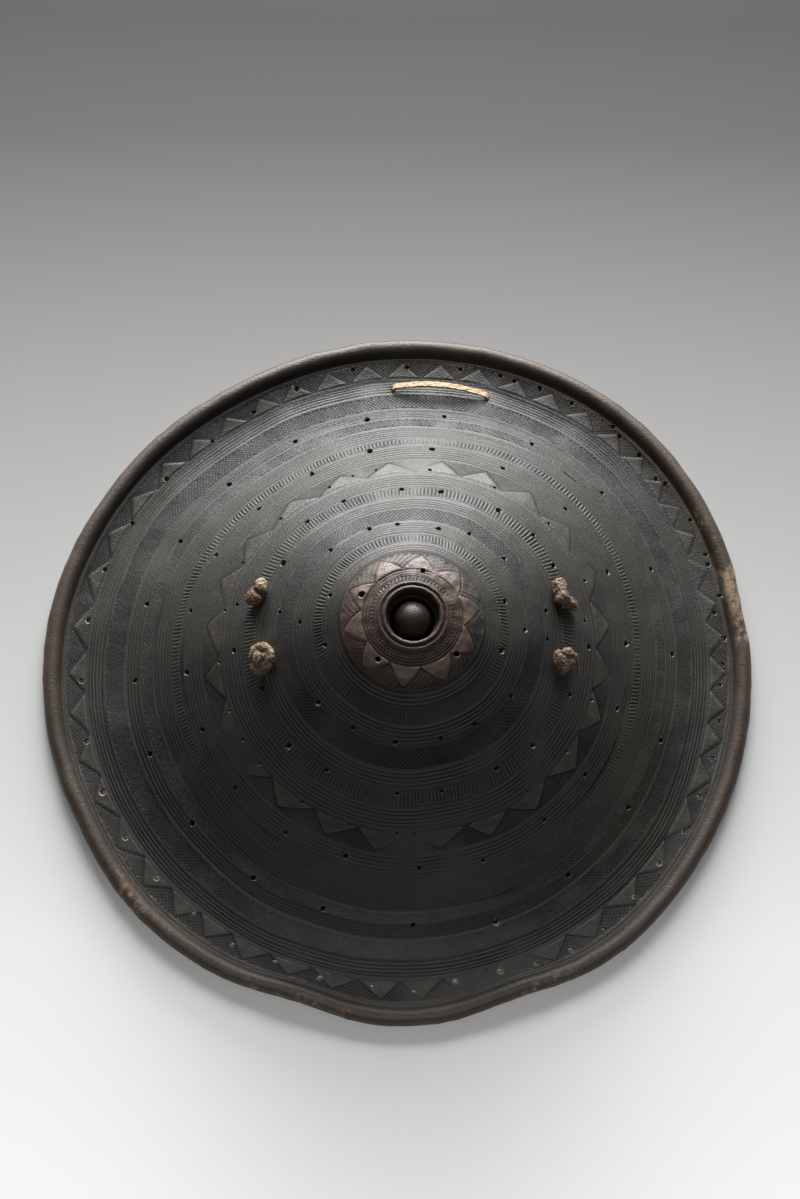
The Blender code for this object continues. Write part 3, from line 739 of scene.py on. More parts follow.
def mesh_object(name, points, faces, materials, smooth=True):
    data = bpy.data.meshes.new(name)
    data.from_pydata([tuple(p) for p in points], [], [tuple(int(c) for c in f) for f in faces])
    for material in materials:
        data.materials.append(material)
    if smooth:
        data.shade_smooth()
    thing = bpy.data.objects.new(name, data)
    bpy.context.scene.collection.objects.link(thing)
    return thing


# Awl holes: angle in degrees and distance from the axis in millimetres, as they lie on the warped hide
BOSS_HOLES = ((155, 37), (78, 33), (-128.5, 36.5), (-40, 38))
INNER_HOLES = (
    (159.4, 57.9), (16.8, 65.6), (-15, 62), (-166.5, 59), (175.6, 74.5), (169.5, 89.3), (133.2, 78.3),
    (110.8, 77.9), (96.7, 76.3), (75.3, 74.6), (60.4, 80.7), (40.3, 83.2), (1.7, 76.5), (12.4, 94.5),
    (0, 93), (-32.4, 79.7), (-55.9, 76), (-74.6, 75.7), (-97.5, 76.5), (-120, 76.3), (-141.5, 78),
    (147.8, 100.7), (128.9, 110), (113.8, 110.5), (92.5, 109.7), (78.4, 109.7), (57.1, 112.5),
    (42.6, 115.6), (29.7, 113.3), (9.6, 122.3), (1, 123), (166, 120.2), (-17.3, 114), (-40.5, 108.6),
    (-56.2, 105), (-78.2, 105.3), (-94.3, 105.2), (-121.6, 104.8), (-138, 108.2), (-161.3, 104.5), (-178, 118),
)
PRICKS = (
    (168, 127), (151.4, 129), (133.2, 127), (114.9, 128), (106.8, 131), (99.6, 132), (83.3, 130), (62.8, 131),
    (43.2, 133), (22.6, 131), (-15.2, 129), (-33.2, 128), (-50.7, 127), (-71, 128), (-88.1, 128),
    (-93.3, 128), (-107.8, 128), (-123.6, 128), (-141, 128), (-150, 128), (-160, 128), (-175.5, 128),
)
MIDDLE_HOLES = (
    (167.6, 152), (151, 150.4), (133.9, 147.9), (116.4, 147.9), (99.7, 152), (83.3, 151.8), (63.8, 151.6),
    (44.3, 154.2), (24.2, 151.8), (4.3, 151), (-13.8, 148), (-34.1, 146.3), (-50.8, 146.8), (-70, 150.4),
    (-86.8, 147.6), (-106.5, 146.1), (-123.5, 148.4), (-141.4, 148.8), (-159.3, 148.8), (-175.4, 150.6),
    (166.3, 184.2), (150.3, 179.9), (132.7, 180.5), (114.6, 181.5), (97.8, 182.6), (80.8, 186.4), (60.9, 186),
    (42.4, 188.3), (22.8, 186.6), (3.7, 186), (-15.8, 183), (-32.4, 181.5), (-52.1, 182.9), (-70.2, 187.2),
    (-87.9, 181.5), (-107.7, 179.7), (-124.2, 182.1), (-142, 183.4), (-159.9, 186.2), (-176.5, 186.6),
)
RIM_HOLES = (
    (170.7, 222.7), (160.6, 221.3), (150.3, 218.6), (139.5, 217.7), (128, 215.7), (118.3, 217.7),
    (109.1, 221.3), (98.2, 225.4), (88.4, 225), (78.8, 227.3), (71.6, 229.8), (69, 229.4), (64.4, 231.4),
    (58.2, 232), (50, 234.5), (48.1, 232), (43.4, 231.8), (38.2, 228.4), (36.5, 231.6), (28.8, 231),
    (22.1, 229), (20.3, 227.5), (14.4, 227.8), (11.5, 220.8), (6.7, 224.5), (2, 221.3), (-1.7, 219.5),
    (-8.4, 220.4), (-15.3, 220.8), (-22.6, 220.6), (-29.5, 221.4), (-36.8, 219.6), (-44.1, 221.7),
    (-52, 225.6), (-58.7, 224.5), (-65.3, 222.5), (-71.6, 218.8), (-79.8, 219), (-87.2, 223.9),
    (-94.5, 221.5), (-103.8, 221.9), (-112.2, 222), (-120.3, 225), (-129.1, 223.5), (-138.3, 223.5),
    (-147.5, 224.8), (-156.7, 224.5), (-166.5, 225), (-177.8, 223.9),
)


def unwarped(angle, seen):
    """Radius before the warps of a point seen at this distance from the boss's axis."""
    turn = math.radians(angle)
    radius = seen
    for _ in range(12):
        shift = LEAN * (1.0 - float(ease(EASE_RADIUS, RIM_WAVE_START, radius))) - LEAN
        out = math.hypot(seen * math.cos(turn) - shift, seen * math.sin(turn))
        radius = out - float(push_of(radius, angle))
    return radius


def hole_cutters():
    """All awl holes as one body of flared pins, each square to the hide."""
    mesh = bmesh.new()
    draw = np.random.default_rng(77)
    painted_light_faces = []
    groups = ((BOSS_HOLES, 0.00150), (INNER_HOLES, 0.00155), (PRICKS, 0.00095), (MIDDLE_HOLES, 0.00160), (RIM_HOLES, 0.00165))
    for holes, bore in groups:
        for angle, seen in holes:
            radius = unwarped(angle, seen / 1000.0)
            if radius < BOSS_RADIUS:
                top = Vector(place(radius, collar_height(radius), angle) + ORIGIN)
                normal = Vector((0.0, 0.0, 1.0)).lerp(plain_normal(BOSS_RADIUS, angle), 0.45).normalized()
                depth = 0.0120
            else:
                top = plain_point(radius, angle) + Vector((0.0, 0.0, float(relief(radius))))
                normal = plain_normal(radius, angle)
                depth = 0.0030 if bore < 0.0012 else 0.0085
            size = bore * draw.uniform(0.90, 1.12)
            stretch = draw.uniform(1.0, 1.22)
            side = normal.orthogonal().normalized()
            side.rotate(Matrix.Rotation(draw.uniform(0.0, math.pi), 3, normal))
            other = normal.cross(side)
            loops = []
            for level, width in ((0.0012, 1.85), (0.0003, 1.42), (-0.0006, 1.0), (-depth, 0.86)):
                loop = []
                for step in range(12):
                    turn = 2.0 * math.pi * step / 12
                    reach = size * width
                    loop.append(mesh.verts.new(
                        top + normal * level + side * reach * stretch * math.cos(turn) + other * reach * math.sin(turn)
                    ))
                loops.append(loop)
            for level, (upper, lower) in enumerate(zip(loops, loops[1:])):
                for i in range(12):
                    j = (i + 1) % 12
                    face = mesh.faces.new((upper[i], lower[i], lower[j], upper[j]))
                    away = face.calc_center_median() - top
                    # The lower side of each hole, and the whole flare of the rim holes, take the painted-light
                    # material: a painted highlight on the lower lip, and painted light in the rim holes as if light
                    # showed through them.
                    below = away.x * 0.35 - away.y > 0.25 * size
                    if level < 2 and (below or holes is RIM_HOLES) or (level == 2 and holes is RIM_HOLES and below):
                        painted_light_faces.append(face)
            mesh.faces.new(loops[0])
            mesh.faces.new(list(reversed(loops[-1])))
    for face in mesh.faces:
        face.material_index = 1
    for face in painted_light_faces:
        face.material_index = 2
    return mesh


def knot_site(side, row):
    x, y = KNOTS[side, row][:2]
    return math.hypot(x, y), math.degrees(math.atan2(y, x))


THONG_RADIUS = 0.0030
STRIP_LEFT = (90.9, 0.2078)
STRIP_RIGHT = (72.6, 0.2078)


def tidy_hide(thing, cutters):
    """Pierce the hide and mark the edges of its holes sharp."""
    bmesh.ops.recalc_face_normals(cutters, faces=cutters.faces)
    data = bpy.data.meshes.new("awl_pins")
    cutters.to_mesh(data)
    cutters.free()
    for material in thing.data.materials:
        data.materials.append(material)
    pins = bpy.data.objects.new("awl_pins", data)
    bpy.context.scene.collection.objects.link(pins)
    change = thing.modifiers.new("pierced", "BOOLEAN")
    change.operation = "DIFFERENCE"
    change.object = pins
    change.solver = "MANIFOLD"
    view = bpy.context.evaluated_depsgraph_get()
    made = bpy.data.meshes.new_from_object(thing.evaluated_get(view))
    thing.modifiers.clear()
    old = thing.data
    thing.data = made
    bpy.data.meshes.remove(old)
    bpy.data.objects.remove(pins)
    mesh = bmesh.new()
    mesh.from_mesh(made)
    bmesh.ops.dissolve_verts(mesh, verts=[vert for vert in mesh.verts if len(vert.link_edges) == 2])
    for face in mesh.faces:
        face.smooth = True
    for edge in mesh.edges:
        kinds = {face.material_index for face in edge.link_faces}
        edge.smooth = len(kinds) < 2 or 0 not in kinds
    mesh.to_mesh(made)
    mesh.free()


def thong_pins(mesh):
    """The four larger holes that the handle's thongs come through."""
    for side, row in KNOTS:
        normal = plain_normal(*knot_site(side, row))
        seat = plain_point(*knot_site(side, row))
        turn = normal.to_track_quat("Z", "Y").to_matrix().to_4x4()
        bmesh.ops.create_cone(
            mesh, cap_ends=True, segments=20, radius1=THONG_RADIUS + 0.0007, radius2=THONG_RADIUS + 0.0009,
            depth=4.5 * HIDE, matrix=Matrix.Translation(seat - normal * HIDE / 2.0) @ turn,
        )


def slot_pins(mesh):
    """The two cut slots of the hanging thong."""
    ends = [(plain_point(r, a), plain_normal(r, a)) for a, r in (STRIP_LEFT, STRIP_RIGHT)]
    chord = (ends[1][0] - ends[0][0]).normalized()
    for seat, normal in ends:
        length = (chord - normal * chord.dot(normal)).normalized()
        basis = Matrix((length, normal.cross(length), normal)).transposed().to_4x4()
        size = Matrix.Diagonal((0.0036, 0.0058, 4.0 * HIDE, 1.0))
        made = bmesh.ops.create_cone(
            mesh, cap_ends=True, segments=12, radius1=0.5, radius2=0.5, depth=1.0,
            matrix=Matrix.Translation(seat - normal * HIDE / 2.0) @ basis @ size,
        )


def shield_hide(finishes):
    hide = HideMesh()
    last = boss(hide)
    last = boss_face(hide, last)
    last = face_of_flank(hide, last)
    last = rolled_rim(hide, last)
    flesh_side(hide, last)
    points = np.concatenate(hide.points) + ORIGIN
    faces = [face for block in hide.faces for face in block]
    thing = mesh_object("tooled_hide", points, faces, finishes)
    cut = thing.data.attributes.new("cut", "FLOAT", "POINT")
    cut.data.foreach_set("value", np.clip(np.concatenate(hide.cuts), -1.5, 1.5).astype(np.float32))
    tint = thing.data.attributes.new("plain", "FLOAT", "POINT")
    tint.data.foreach_set("value", np.concatenate(hide.tints).astype(np.float32))
    cutters = hole_cutters()
    awl_faces = set(cutters.faces)
    thong_pins(cutters)
    slot_pins(cutters)
    for face in cutters.faces:
        if face not in awl_faces:
            face.material_index = 1
    tidy_hide(thing, cutters)
    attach(thing, "root")
    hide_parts("hide_shell")
    return thing


class Field:
    """A value that varies over a surface; arithmetic on it adds Math nodes."""

    def __init__(self, recipe, socket):
        self.recipe = recipe
        self.socket = socket

    def sum(self, operation, first, second):
        made = self.recipe.node("ShaderNodeMath", {"operation": operation}, {0: first, 1: second})
        return Field(self.recipe, made.outputs[0])

    def __add__(self, other):
        return self.sum("ADD", self, other)

    def __radd__(self, other):
        return self.sum("ADD", other, self)

    def __sub__(self, other):
        return self.sum("SUBTRACT", self, other)

    def __rsub__(self, other):
        return self.sum("SUBTRACT", other, self)

    def __mul__(self, other):
        return self.sum("MULTIPLY", self, other)

    def __rmul__(self, other):
        return self.sum("MULTIPLY", other, self)

    def __truediv__(self, other):
        return self.sum("DIVIDE", self, other)

    def __pow__(self, other):
        return self.sum("POWER", self, other)


class Finish:
    """One material, built up from fields and colours."""

    def __init__(self, name, **constants):
        self.material = bpy.data.materials.new(name)
        self.material.use_nodes = True
        self.tree = self.material.node_tree
        self.shader = self.tree.nodes["Principled BSDF"]
        for socket, value in constants.items():
            self.shader.inputs[socket.replace("_", " ")].default_value = value
        self.where = self.node("ShaderNodeTexCoord").outputs["Object"]

    def node(self, kind, settings=None, sockets=None):
        made = self.tree.nodes.new(kind)
        for name, value in (settings or {}).items():
            if name == "stops":
                self.set_stops(made.color_ramp, value)
            else:
                setattr(made, name, value)
        for key, value in (sockets or {}).items():
            self.feed(made.inputs[key], value)
        return made

    def set_stops(self, ramp, stops):
        while len(ramp.elements) < len(stops):
            ramp.elements.new(0.5)
        for element, (position, colour) in zip(ramp.elements, stops):
            element.position = position
            element.color = (*colour, 1.0)

    def feed(self, socket, value):
        if isinstance(value, Field):
            value = value.socket
        if isinstance(value, bpy.types.NodeSocket):
            self.tree.links.new(value, socket)
        elif isinstance(value, tuple) and len(value) == 3 and socket.type == "RGBA":
            socket.default_value = (*value, 1.0)
        else:
            socket.default_value = value

    def noise(self, scale, detail=4.0, roughness=0.55, distortion=0.0, where=None):
        made = self.node(
            "ShaderNodeTexNoise", None,
            {"Vector": where or self.where, "Scale": scale, "Detail": detail, "Roughness": roughness,
             "Distortion": distortion},
        )
        return Field(self, made.outputs["Fac"])

    def cells(self, scale, feature="F1", where=None):
        made = self.node(
            "ShaderNodeTexVoronoi", {"feature": feature}, {"Vector": where or self.where, "Scale": scale},
        )
        return Field(self, made.outputs["Distance"])

    def attribute(self, name):
        return Field(self, self.node("ShaderNodeAttribute", {"attribute_name": name}).outputs["Fac"])

    def between(self, value, low, high):
        """0 below low, 1 above high, with a soft rise between."""
        made = self.node(
            "ShaderNodeMapRange", {"interpolation_type": "SMOOTHSTEP"},
            {"Value": value, "From Min": low, "From Max": high},
        )
        return Field(self, made.outputs["Result"])

    def stretched(self, scale):
        made = self.node("ShaderNodeVectorMath", {"operation": "MULTIPLY"}, {0: self.where, 1: scale})
        return made.outputs["Vector"]

    def axes(self):
        made = self.node("ShaderNodeSeparateXYZ", None, {0: self.where})
        return [Field(self, made.outputs[k]) for k in range(3)]

    def mix(self, first, second, share):
        made = self.node("ShaderNodeMix", {"data_type": "RGBA"}, {"Factor": share})
        self.feed(made.inputs[6], first)
        self.feed(made.inputs[7], second)
        return made.outputs[2]

    def distance(self, point):
        made = self.node("ShaderNodeVectorMath", {"operation": "DISTANCE"}, {0: self.where, 1: tuple(point)})
        return Field(self, made.outputs["Value"])

    def finish(self, colour, roughness, height, bump, reach=0.001):
        self.feed(self.shader.inputs["Base Color"], colour)
        self.feed(self.shader.inputs["Roughness"], roughness)
        made = self.node("ShaderNodeBump", None, {"Strength": bump, "Distance": reach, "Height": height})
        self.feed(self.shader.inputs["Normal"], made.outputs["Normal"])
        return self.material


def hide_leather():
    """Near-black waxed hide with a browner boss, painted shade in the cuts and a rim rubbed back to tan."""
    f = Finish("tooled_hide_leather", IOR=1.50)
    x, y, z = f.axes()
    flat = f.node("ShaderNodeVectorMath", {"operation": "MULTIPLY"}, {0: f.where, 1: (1.0, 1.0, 0.0)})
    out = Field(f, f.node("ShaderNodeVectorMath", {"operation": "LENGTH"}, {0: flat.outputs[0]}).outputs["Value"])
    cut = f.attribute("cut")
    plain = f.attribute("plain")
    cloud = f.noise(9.0, 5.0, 0.6)
    mottle = f.noise(46.0, 6.0, 0.62)
    streak = f.noise(130.0, 5.0, 0.7)
    fine = f.noise(420.0, 4.0, 0.6)
    pores = f.cells(900.0)
    black = f.mix((0.016, 0.0150, 0.0128), (0.040, 0.0365, 0.0305), mottle)
    black = f.mix(black, (0.060, 0.052, 0.042), f.between(cloud, 0.48, 0.72) * 0.55)
    black = f.mix(black, (0.014, 0.010, 0.008), f.between(streak, 0.56, 0.70) * 0.45)
    on_boss = 1.0 - f.between(out, 0.040, 0.050)
    knob = 1.0 - f.between(out, 0.0115, 0.0150)
    boss_brown = f.mix((0.030, 0.017, 0.011), (0.082, 0.050, 0.034), mottle)
    boss_brown = f.mix(boss_brown, (0.165, 0.108, 0.082), plain * (0.35 + 0.9 * mottle) * 0.8)
    boss_brown = f.mix(boss_brown, (0.022, 0.016, 0.012), knob * 0.8)
    colour = f.mix(black, boss_brown, on_boss * 0.9)
    on_rim = f.between(out, 0.2290, 0.2400)
    rim_brown = f.mix((0.026, 0.018, 0.012), (0.090, 0.060, 0.039), mottle)
    colour = f.mix(colour, rim_brown, on_rim * 0.9)
    rubbed = 0.0
    for angle, reach, amount in ((15.0, 0.085, 1.0), (-66.0, 0.055, 0.9), (-107.0, 0.075, 0.8), (-140.0, 0.040, 0.5)):
        spot = place(0.2440, 0.0080, angle) + ORIGIN
        rubbed = rubbed + amount * (1.0 - f.between(f.distance(spot), 0.2 * reach, reach))
    speckle = f.noise(230.0, 6.0, 0.78)
    tan = f.mix((0.17, 0.105, 0.058), (0.42, 0.30, 0.19), speckle)
    worn = f.between(mottle * 0.55 + speckle * 0.55 + rubbed * 0.17, 0.66, 0.78) * f.between(out, 0.2330, 0.2410)
    colour = f.mix(colour, tan, worn * 0.85)
    crest = f.between(cut, 0.02, 0.30)
    deep = 1.0 - f.between(cut, -0.80, -0.05)
    rubbed_crest = crest * f.between(streak, 0.40, 0.62)
    colour = f.mix(colour, (0.085, 0.074, 0.060), rubbed_crest * (1.0 - on_boss) * 0.45)
    # painted shade: the bottoms of the cuts are darkened to near black
    colour = f.mix(colour, (0.0045, 0.0040, 0.0034), deep * 0.85)
    roughness = 0.40 + 0.14 * mottle + 0.10 * cloud - 0.07 * crest + 0.26 * deep + 0.25 * worn
    grain = pores * 0.45 + fine * 0.6 + mottle * 0.9 + streak * 0.5
    return f.finish(colour, roughness, grain, 0.42, 0.0008)


def raw_edge():
    """The dark wall of an awl hole."""
    f = Finish("pierced_edge")
    speck = f.noise(600.0, 3.0)
    return f.finish(f.mix((0.006, 0.005, 0.004), (0.035, 0.028, 0.022), speck), 0.75, speck, 0.3)


def lip_painted_light():
    """The lower lip of an awl hole in pale colour: a painted highlight, and on the rim holes painted light as if seen
    through the hole.
    """
    f = Finish("pierced_lip_painted_light")
    speck = f.noise(700.0, 4.0, 0.7)
    # painted light: pale colour standing in for a lit lip, not the hide's own colour
    return f.finish(f.mix((0.10, 0.085, 0.068), (0.46, 0.41, 0.34), speck), 0.7, speck, 0.4)


def rawhide():
    """Tan rawhide with a dark, speckled grain and paler places where it is rubbed."""
    f = Finish("speckled_rawhide", IOR=1.45)
    mottle = f.noise(150.0, 6.0, 0.7)
    patches = f.noise(60.0, 3.0, 0.5)
    grain = f.cells(620.0)
    fibres = f.noise(900.0, 5.0, 0.75)
    colour = f.mix((0.050, 0.030, 0.018), (0.23, 0.145, 0.085), f.between(mottle, 0.30, 0.66))
    colour = f.mix(colour, (0.46, 0.34, 0.23), f.between(patches * 0.7 + fibres * 0.5, 0.60, 0.78) * 0.75)
    colour = f.mix(colour, (0.028, 0.017, 0.011), f.between(mottle * 0.6 + grain * 0.9, 0.78, 0.98) * 0.7)
    pale = 0.0
    for side, row, east, north, reach in (("left", 1, 0.004, 0.006, 0.009), ("left", -1, 0.006, 0.004, 0.005)):
        spot = plain_point(*knot_site(side, row)) + Vector((east, north, 0.010))
        pale = pale + (1.0 - f.between(f.distance(spot), 0.4 * reach, reach))
    colour = f.mix(colour, (0.52, 0.39, 0.28), pale * (0.35 + 0.8 * mottle) * 0.7)
    height = mottle * 0.9 + grain * 0.8 + fibres * 0.5
    return f.finish(colour, 0.50 + 0.25 * mottle, height, 0.75, 0.0012)


def plain_leather(name, dark, light, roughness):
    f = Finish(name)
    mottle = f.noise(90.0, 6.0, 0.65)
    fibres = f.noise(500.0, 5.0, 0.7)
    return f.finish(f.mix(dark, light, mottle), roughness, mottle + fibres * 0.5, 0.5, 0.001)


def soft_light(name, spot, target, watts, width, height, spread=180.0, tint=(1.0, 1.0, 1.0)):
    """A rectangular soft light; spread is how wide it throws, in degrees."""
    data = bpy.data.lights.new(name, "AREA")
    data.shape = "RECTANGLE"
    data.size = width
    data.size_y = height
    data.energy = watts
    data.spread = math.radians(spread)
    data.color = tint
    thing = bpy.data.objects.new(name, data)
    thing.location = spot
    thing.rotation_euler = (Vector(target) - Vector(spot)).to_track_quat("-Z", "Y").to_euler()
    bpy.context.scene.collection.objects.link(thing)


def floor_with_painted_shade():
    """Pale paper with painted shade, darkening to grey beyond the top of the shield."""
    f = Finish("pale_paper_floor_with_painted_shade")
    x, y, z = f.axes()
    # painted shade: the colour falls from pale to dark grey towards +Y, standing in for light falling off across the
    # floor
    stops = [
        (0.00, (0.88, 0.88, 0.875)),
        (0.25, (0.82, 0.82, 0.815)),
        (0.50, (0.56, 0.56, 0.555)),
        (0.68, (0.36, 0.358, 0.355)),
        (0.80, (0.23, 0.228, 0.226)),
        (0.90, (0.13, 0.128, 0.126)),
        (1.00, (0.085, 0.083, 0.081)),
    ]
    reach = (y + 0.42) / 0.92
    fall = f.node("ShaderNodeValToRGB", {"stops": stops}, {0: reach})
    grain = f.noise(60.0, 3.0)
    return f.finish(fall.outputs["Color"], 0.85, grain, 0.02)


def floor_and_lights():
    sheet = bpy.data.meshes.new("floor")
    reach = 3.2
    corners = [(-reach, -reach, -0.0002), (reach, -reach, -0.0002), (reach, reach, -0.0002), (-reach, reach, -0.0002)]
    sheet.from_pydata(corners, [], [(0, 1, 2, 3)])
    sheet.materials.append(floor_with_painted_shade())
    floor = bpy.data.objects.new("floor", sheet)
    bpy.context.scene.collection.objects.link(floor)
    soft_light("high_key", (0.06, 1.75, 1.20), (0.0, 0.0, 0.04), 8.3, 1.5, 0.8, 70.0)
    soft_light("low_key", (-0.06, 2.20, 0.42), (0.0, 0.0, 0.10), 29.0, 2.1, 0.6, 80.0)
    soft_light("near_floor", (0.0, -0.90, 1.90), (0.0, -0.80, 0.0), 4.0, 1.8, 0.5, 50.0)
    world = bpy.data.worlds.new("studio")
    world.use_nodes = True
    world.node_tree.nodes["Background"].inputs["Color"].default_value = (1.0, 1.0, 1.0, 1.0)
    world.node_tree.nodes["Background"].inputs["Strength"].default_value = 0.075
    bpy.context.scene.world = world
    bpy.context.scene.view_settings.view_transform = "Standard"


GRIP_Z = 0.0640
GRIP_HALF_LENGTH = 0.0540
GRIP_HALF_WIDTH = 0.0135
GRIP_HALF_HEIGHT = 0.0085
GRIP_TURNS = 9
GRIP_THONG_SPREAD = 0.0056
HANDLE_Y = 0.0070
KNOT_HEIGHT = 0.0066
THONG_BEHIND = 0.0045
THONG_TURN = (0.0075, 0.0030, 0.0040)
THONG_GATHER = (0.0160, 0.0050, 0.0016)
THONG_MOUTH = (0.0020, 0.0002)
THONG_INSIDE = 0.0100

# Lobes of each knot: stops in millimetres east, north and up from its hole, then radii at the stops
KNOT_LOBES = {
    ("left", 1): (
        (((2.6, 0.8, 4.4), (4.2, 4.0, 4.6), (6.0, 7.4, 4.4)), (5.2, 5.5, 3.9)),
        (((1.2, -1.2, 4.4), (-2.0, -3.2, 4.4), (-5.4, -4.6, 4.0)), (5.7, 6.0, 4.6)),
        (((3.0, 2.0, 3.4), (-2.0, -2.0, 3.4)), (4.4, 4.6)),
        (((-8.0, -3.0, 3.4), (-10.6, -1.4, 4.0)), (1.1, 0.5)),
        (((-7.0, -1.2, 5.0), (-9.0, 1.4, 5.2)), (1.0, 0.5)),
    ),
    ("left", -1): (
        (((-2.0, -1.0, 3.8), (2.0, 1.0, 3.8)), (6.6, 6.4)),
        (((-7.6, -1.0, 4.0), (-5.0, 5.6, 4.4), (2.0, 7.6, 4.6), (7.0, 3.6, 4.6), (7.4, -2.4, 4.4)),
         (3.4, 3.8, 3.6, 3.6, 3.6)),
        (((7.2, -2.6, 4.6), (3.6, -7.2, 4.4), (-3.0, -7.6, 4.2), (-7.8, -3.4, 4.0)), (3.4, 3.7, 3.7, 3.2)),
        (((4.4, 1.6, 7.4), (1.6, -2.4, 7.8), (-2.2, -1.8, 7.6), (-2.6, 2.6, 7.4)), (2.5, 2.3, 2.2, 1.6)),
        (((4.6, 6.4, 6.4), (6.4, 4.0, 6.8)), (1.8, 1.3)),
    ),
    ("right", 1): (
        (((-4.8, 8.4, 4.6), (-3.4, 2.0, 5.0), (-1.6, -5.6, 4.6)), (4.9, 5.6, 5.3)),
        (((3.0, -3.6, 3.8), (7.4, -5.6, 4.0), (9.4, -7.2, 3.6)), (4.2, 4.6, 3.6)),
        (((10.8, -6.4, 3.4), (13.2, -8.2, 2.4)), (1.1, 0.5)),
    ),
    ("right", -1): (
        (((-5.4, 5.4, 4.2), (-5.2, -0.4, 4.8), (-1.6, -7.6, 4.2)), (4.0, 4.8, 4.2)),
        (((1.2, 7.6, 4.2), (3.8, 2.6, 4.8), (4.4, -4.0, 4.2)), (4.2, 4.8, 4.0)),
        (((-4.4, -5.2, 7.6), (-2.6, -6.4, 8.4)), (1.5, 0.8)),
        (((7.4, 4.4, 3.4), (11.4, 5.2, 3.6), (14.2, 0.6, 2.4), (16.4, -5.4, 1.6)), (1.5, 1.2, 1.1, 0.8)),
    ),
}


def tube(mesh, stops, radii, steps=5, sides=12, squash=0.0, twist=0.0):
    """A closed round bar through the stops; squash and twist make it a twisted strap."""
    path = [Vector(point) for point in curve_through(stops, steps)]
    widths = np.interp(np.linspace(0.0, 1.0, len(path)), np.linspace(0.0, 1.0, len(radii)), radii)
    along = (path[1] - path[0]).normalized()
    across = along.orthogonal().normalized()
    loops = []
    run = 0.0
    for k, point in enumerate(path):
        ahead = path[min(k + 1, len(path) - 1)] - path[max(k - 1, 0)]
        along = ahead.normalized()
        across = (across - along * across.dot(along)).normalized()
        other = along.cross(across)
        run += (point - path[max(k - 1, 0)]).length
        loop = []
        for i in range(sides):
            turn = 2.0 * math.pi * i / sides
            reach = widths[k] * (1.0 - squash * (0.5 + 0.5 * math.cos(2.0 * (turn - twist * run))))
            loop.append(mesh.verts.new(point + (across * math.cos(turn) + other * math.sin(turn)) * reach))
        loops.append(loop)
    for upper, lower in zip(loops, loops[1:]):
        for i in range(sides):
            j = (i + 1) % sides
            mesh.faces.new((upper[i], upper[j], lower[j], lower[i]))
    for loop, point, sign in ((loops[0], path[0], -1.0), (loops[-1], path[-1], 1.0)):
        ends = path[1] - path[0] if sign < 0.0 else path[-1] - path[-2]
        width = widths[0] if sign < 0.0 else widths[-1]
        tip = mesh.verts.new(point + ends.normalized() * sign * width * 0.55)
        for i in range(sides):
            j = (i + 1) % sides
            mesh.faces.new((loop[j], loop[i], tip) if sign < 0.0 else (loop[i], loop[j], tip))


def worked_skin(name, mesh, voxel, relief_depth, seed, finish):
    """Fuse a mesh into one skin, soften it and give it an uneven surface."""
    bmesh.ops.recalc_face_normals(mesh, faces=mesh.faces)
    data = bpy.data.meshes.new(name)
    mesh.to_mesh(data)
    mesh.free()
    thing = bpy.data.objects.new(name, data)
    bpy.context.scene.collection.objects.link(thing)
    fuse = thing.modifiers.new("fused", "REMESH")
    fuse.mode = "VOXEL"
    fuse.voxel_size = voxel
    soften = thing.modifiers.new("softened", "SMOOTH")
    soften.factor = 0.5
    soften.iterations = 3
    view = bpy.context.evaluated_depsgraph_get()
    made = bpy.data.meshes.new_from_object(thing.evaluated_get(view))
    thing.modifiers.clear()
    thing.data = made
    bpy.data.meshes.remove(data)
    count = len(made.vertices)
    points = np.empty(count * 3)
    normals = np.empty(count * 3)
    made.vertices.foreach_get("co", points)
    made.vertices.foreach_get("normal", normals)
    points, normals = points.reshape(-1, 3), normals.reshape(-1, 3)
    coarse, fine = ripples(seed, 0.0035, 0.0090, 22), ripples(seed + 1, 0.0012, 0.0030, 26)
    x, y = points[:, 0] + 0.7 * points[:, 2], points[:, 1] - 0.6 * points[:, 2]
    rise = relief_depth * (0.7 * coarse(x, y) + 0.5 * fine(x, y) - 0.25)
    made.vertices.foreach_set("co", (points + normals * rise[:, None]).ravel())
    made.update()
    made.materials.clear()
    made.materials.append(finish)
    made.shade_smooth()
    return thing


def thong_route(row):
    """Centre line of one handle thong, from the left knot to the right one."""
    y_grip = HANDLE_Y + row * GRIP_THONG_SPREAD
    half = {}
    for side, sign in (("left", -1), ("right", 1)):
        seat = plain_point(*knot_site(side, row))
        normal = plain_normal(*knot_site(side, row))
        under = seat - normal * (HIDE + THONG_BEHIND)
        grip = Vector(ORIGIN) + Vector((sign * GRIP_HALF_LENGTH, y_grip, GRIP_Z))
        half[side] = [
            seat + normal * KNOT_HEIGHT,
            seat,
            under,
            under + Vector((-sign * THONG_TURN[0], -row * THONG_TURN[1], -THONG_TURN[2])),
            grip + Vector((sign * THONG_GATHER[0], row * THONG_GATHER[1], THONG_GATHER[2])),
            grip + Vector((sign * THONG_MOUTH[0], row * THONG_MOUTH[1], 0.0)),
            grip - Vector((sign * THONG_INSIDE, 0.0, 0.0)),
        ]
    return half["left"] + half["right"][::-1]


def handle_thong(name, row, finish, seed):
    """A twisted rawhide thong with a sculpted knot on the face at each end."""
    mesh = bmesh.new()
    tube(mesh, thong_route(row), (THONG_RADIUS - 0.0001,), 8, 12, 0.16, 420.0)
    for side in ("left", "right"):
        seat = plain_point(*knot_site(side, row))
        normal = plain_normal(*knot_site(side, row))
        east = Vector((1.0, 0.0, 0.0))
        east = (east - normal * east.dot(normal)).normalized()
        north = normal.cross(east)
        for stops, radii in KNOT_LOBES[side, row]:
            path = [seat + (east * e + north * n + normal * u) * 0.001 for e, n, u in stops]
            tube(mesh, path, [0.001 * r for r in radii], 5, 14)
    thing = worked_skin(name, mesh, 0.00055, 0.00045, seed, finish)
    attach(thing, "root")
    return thing


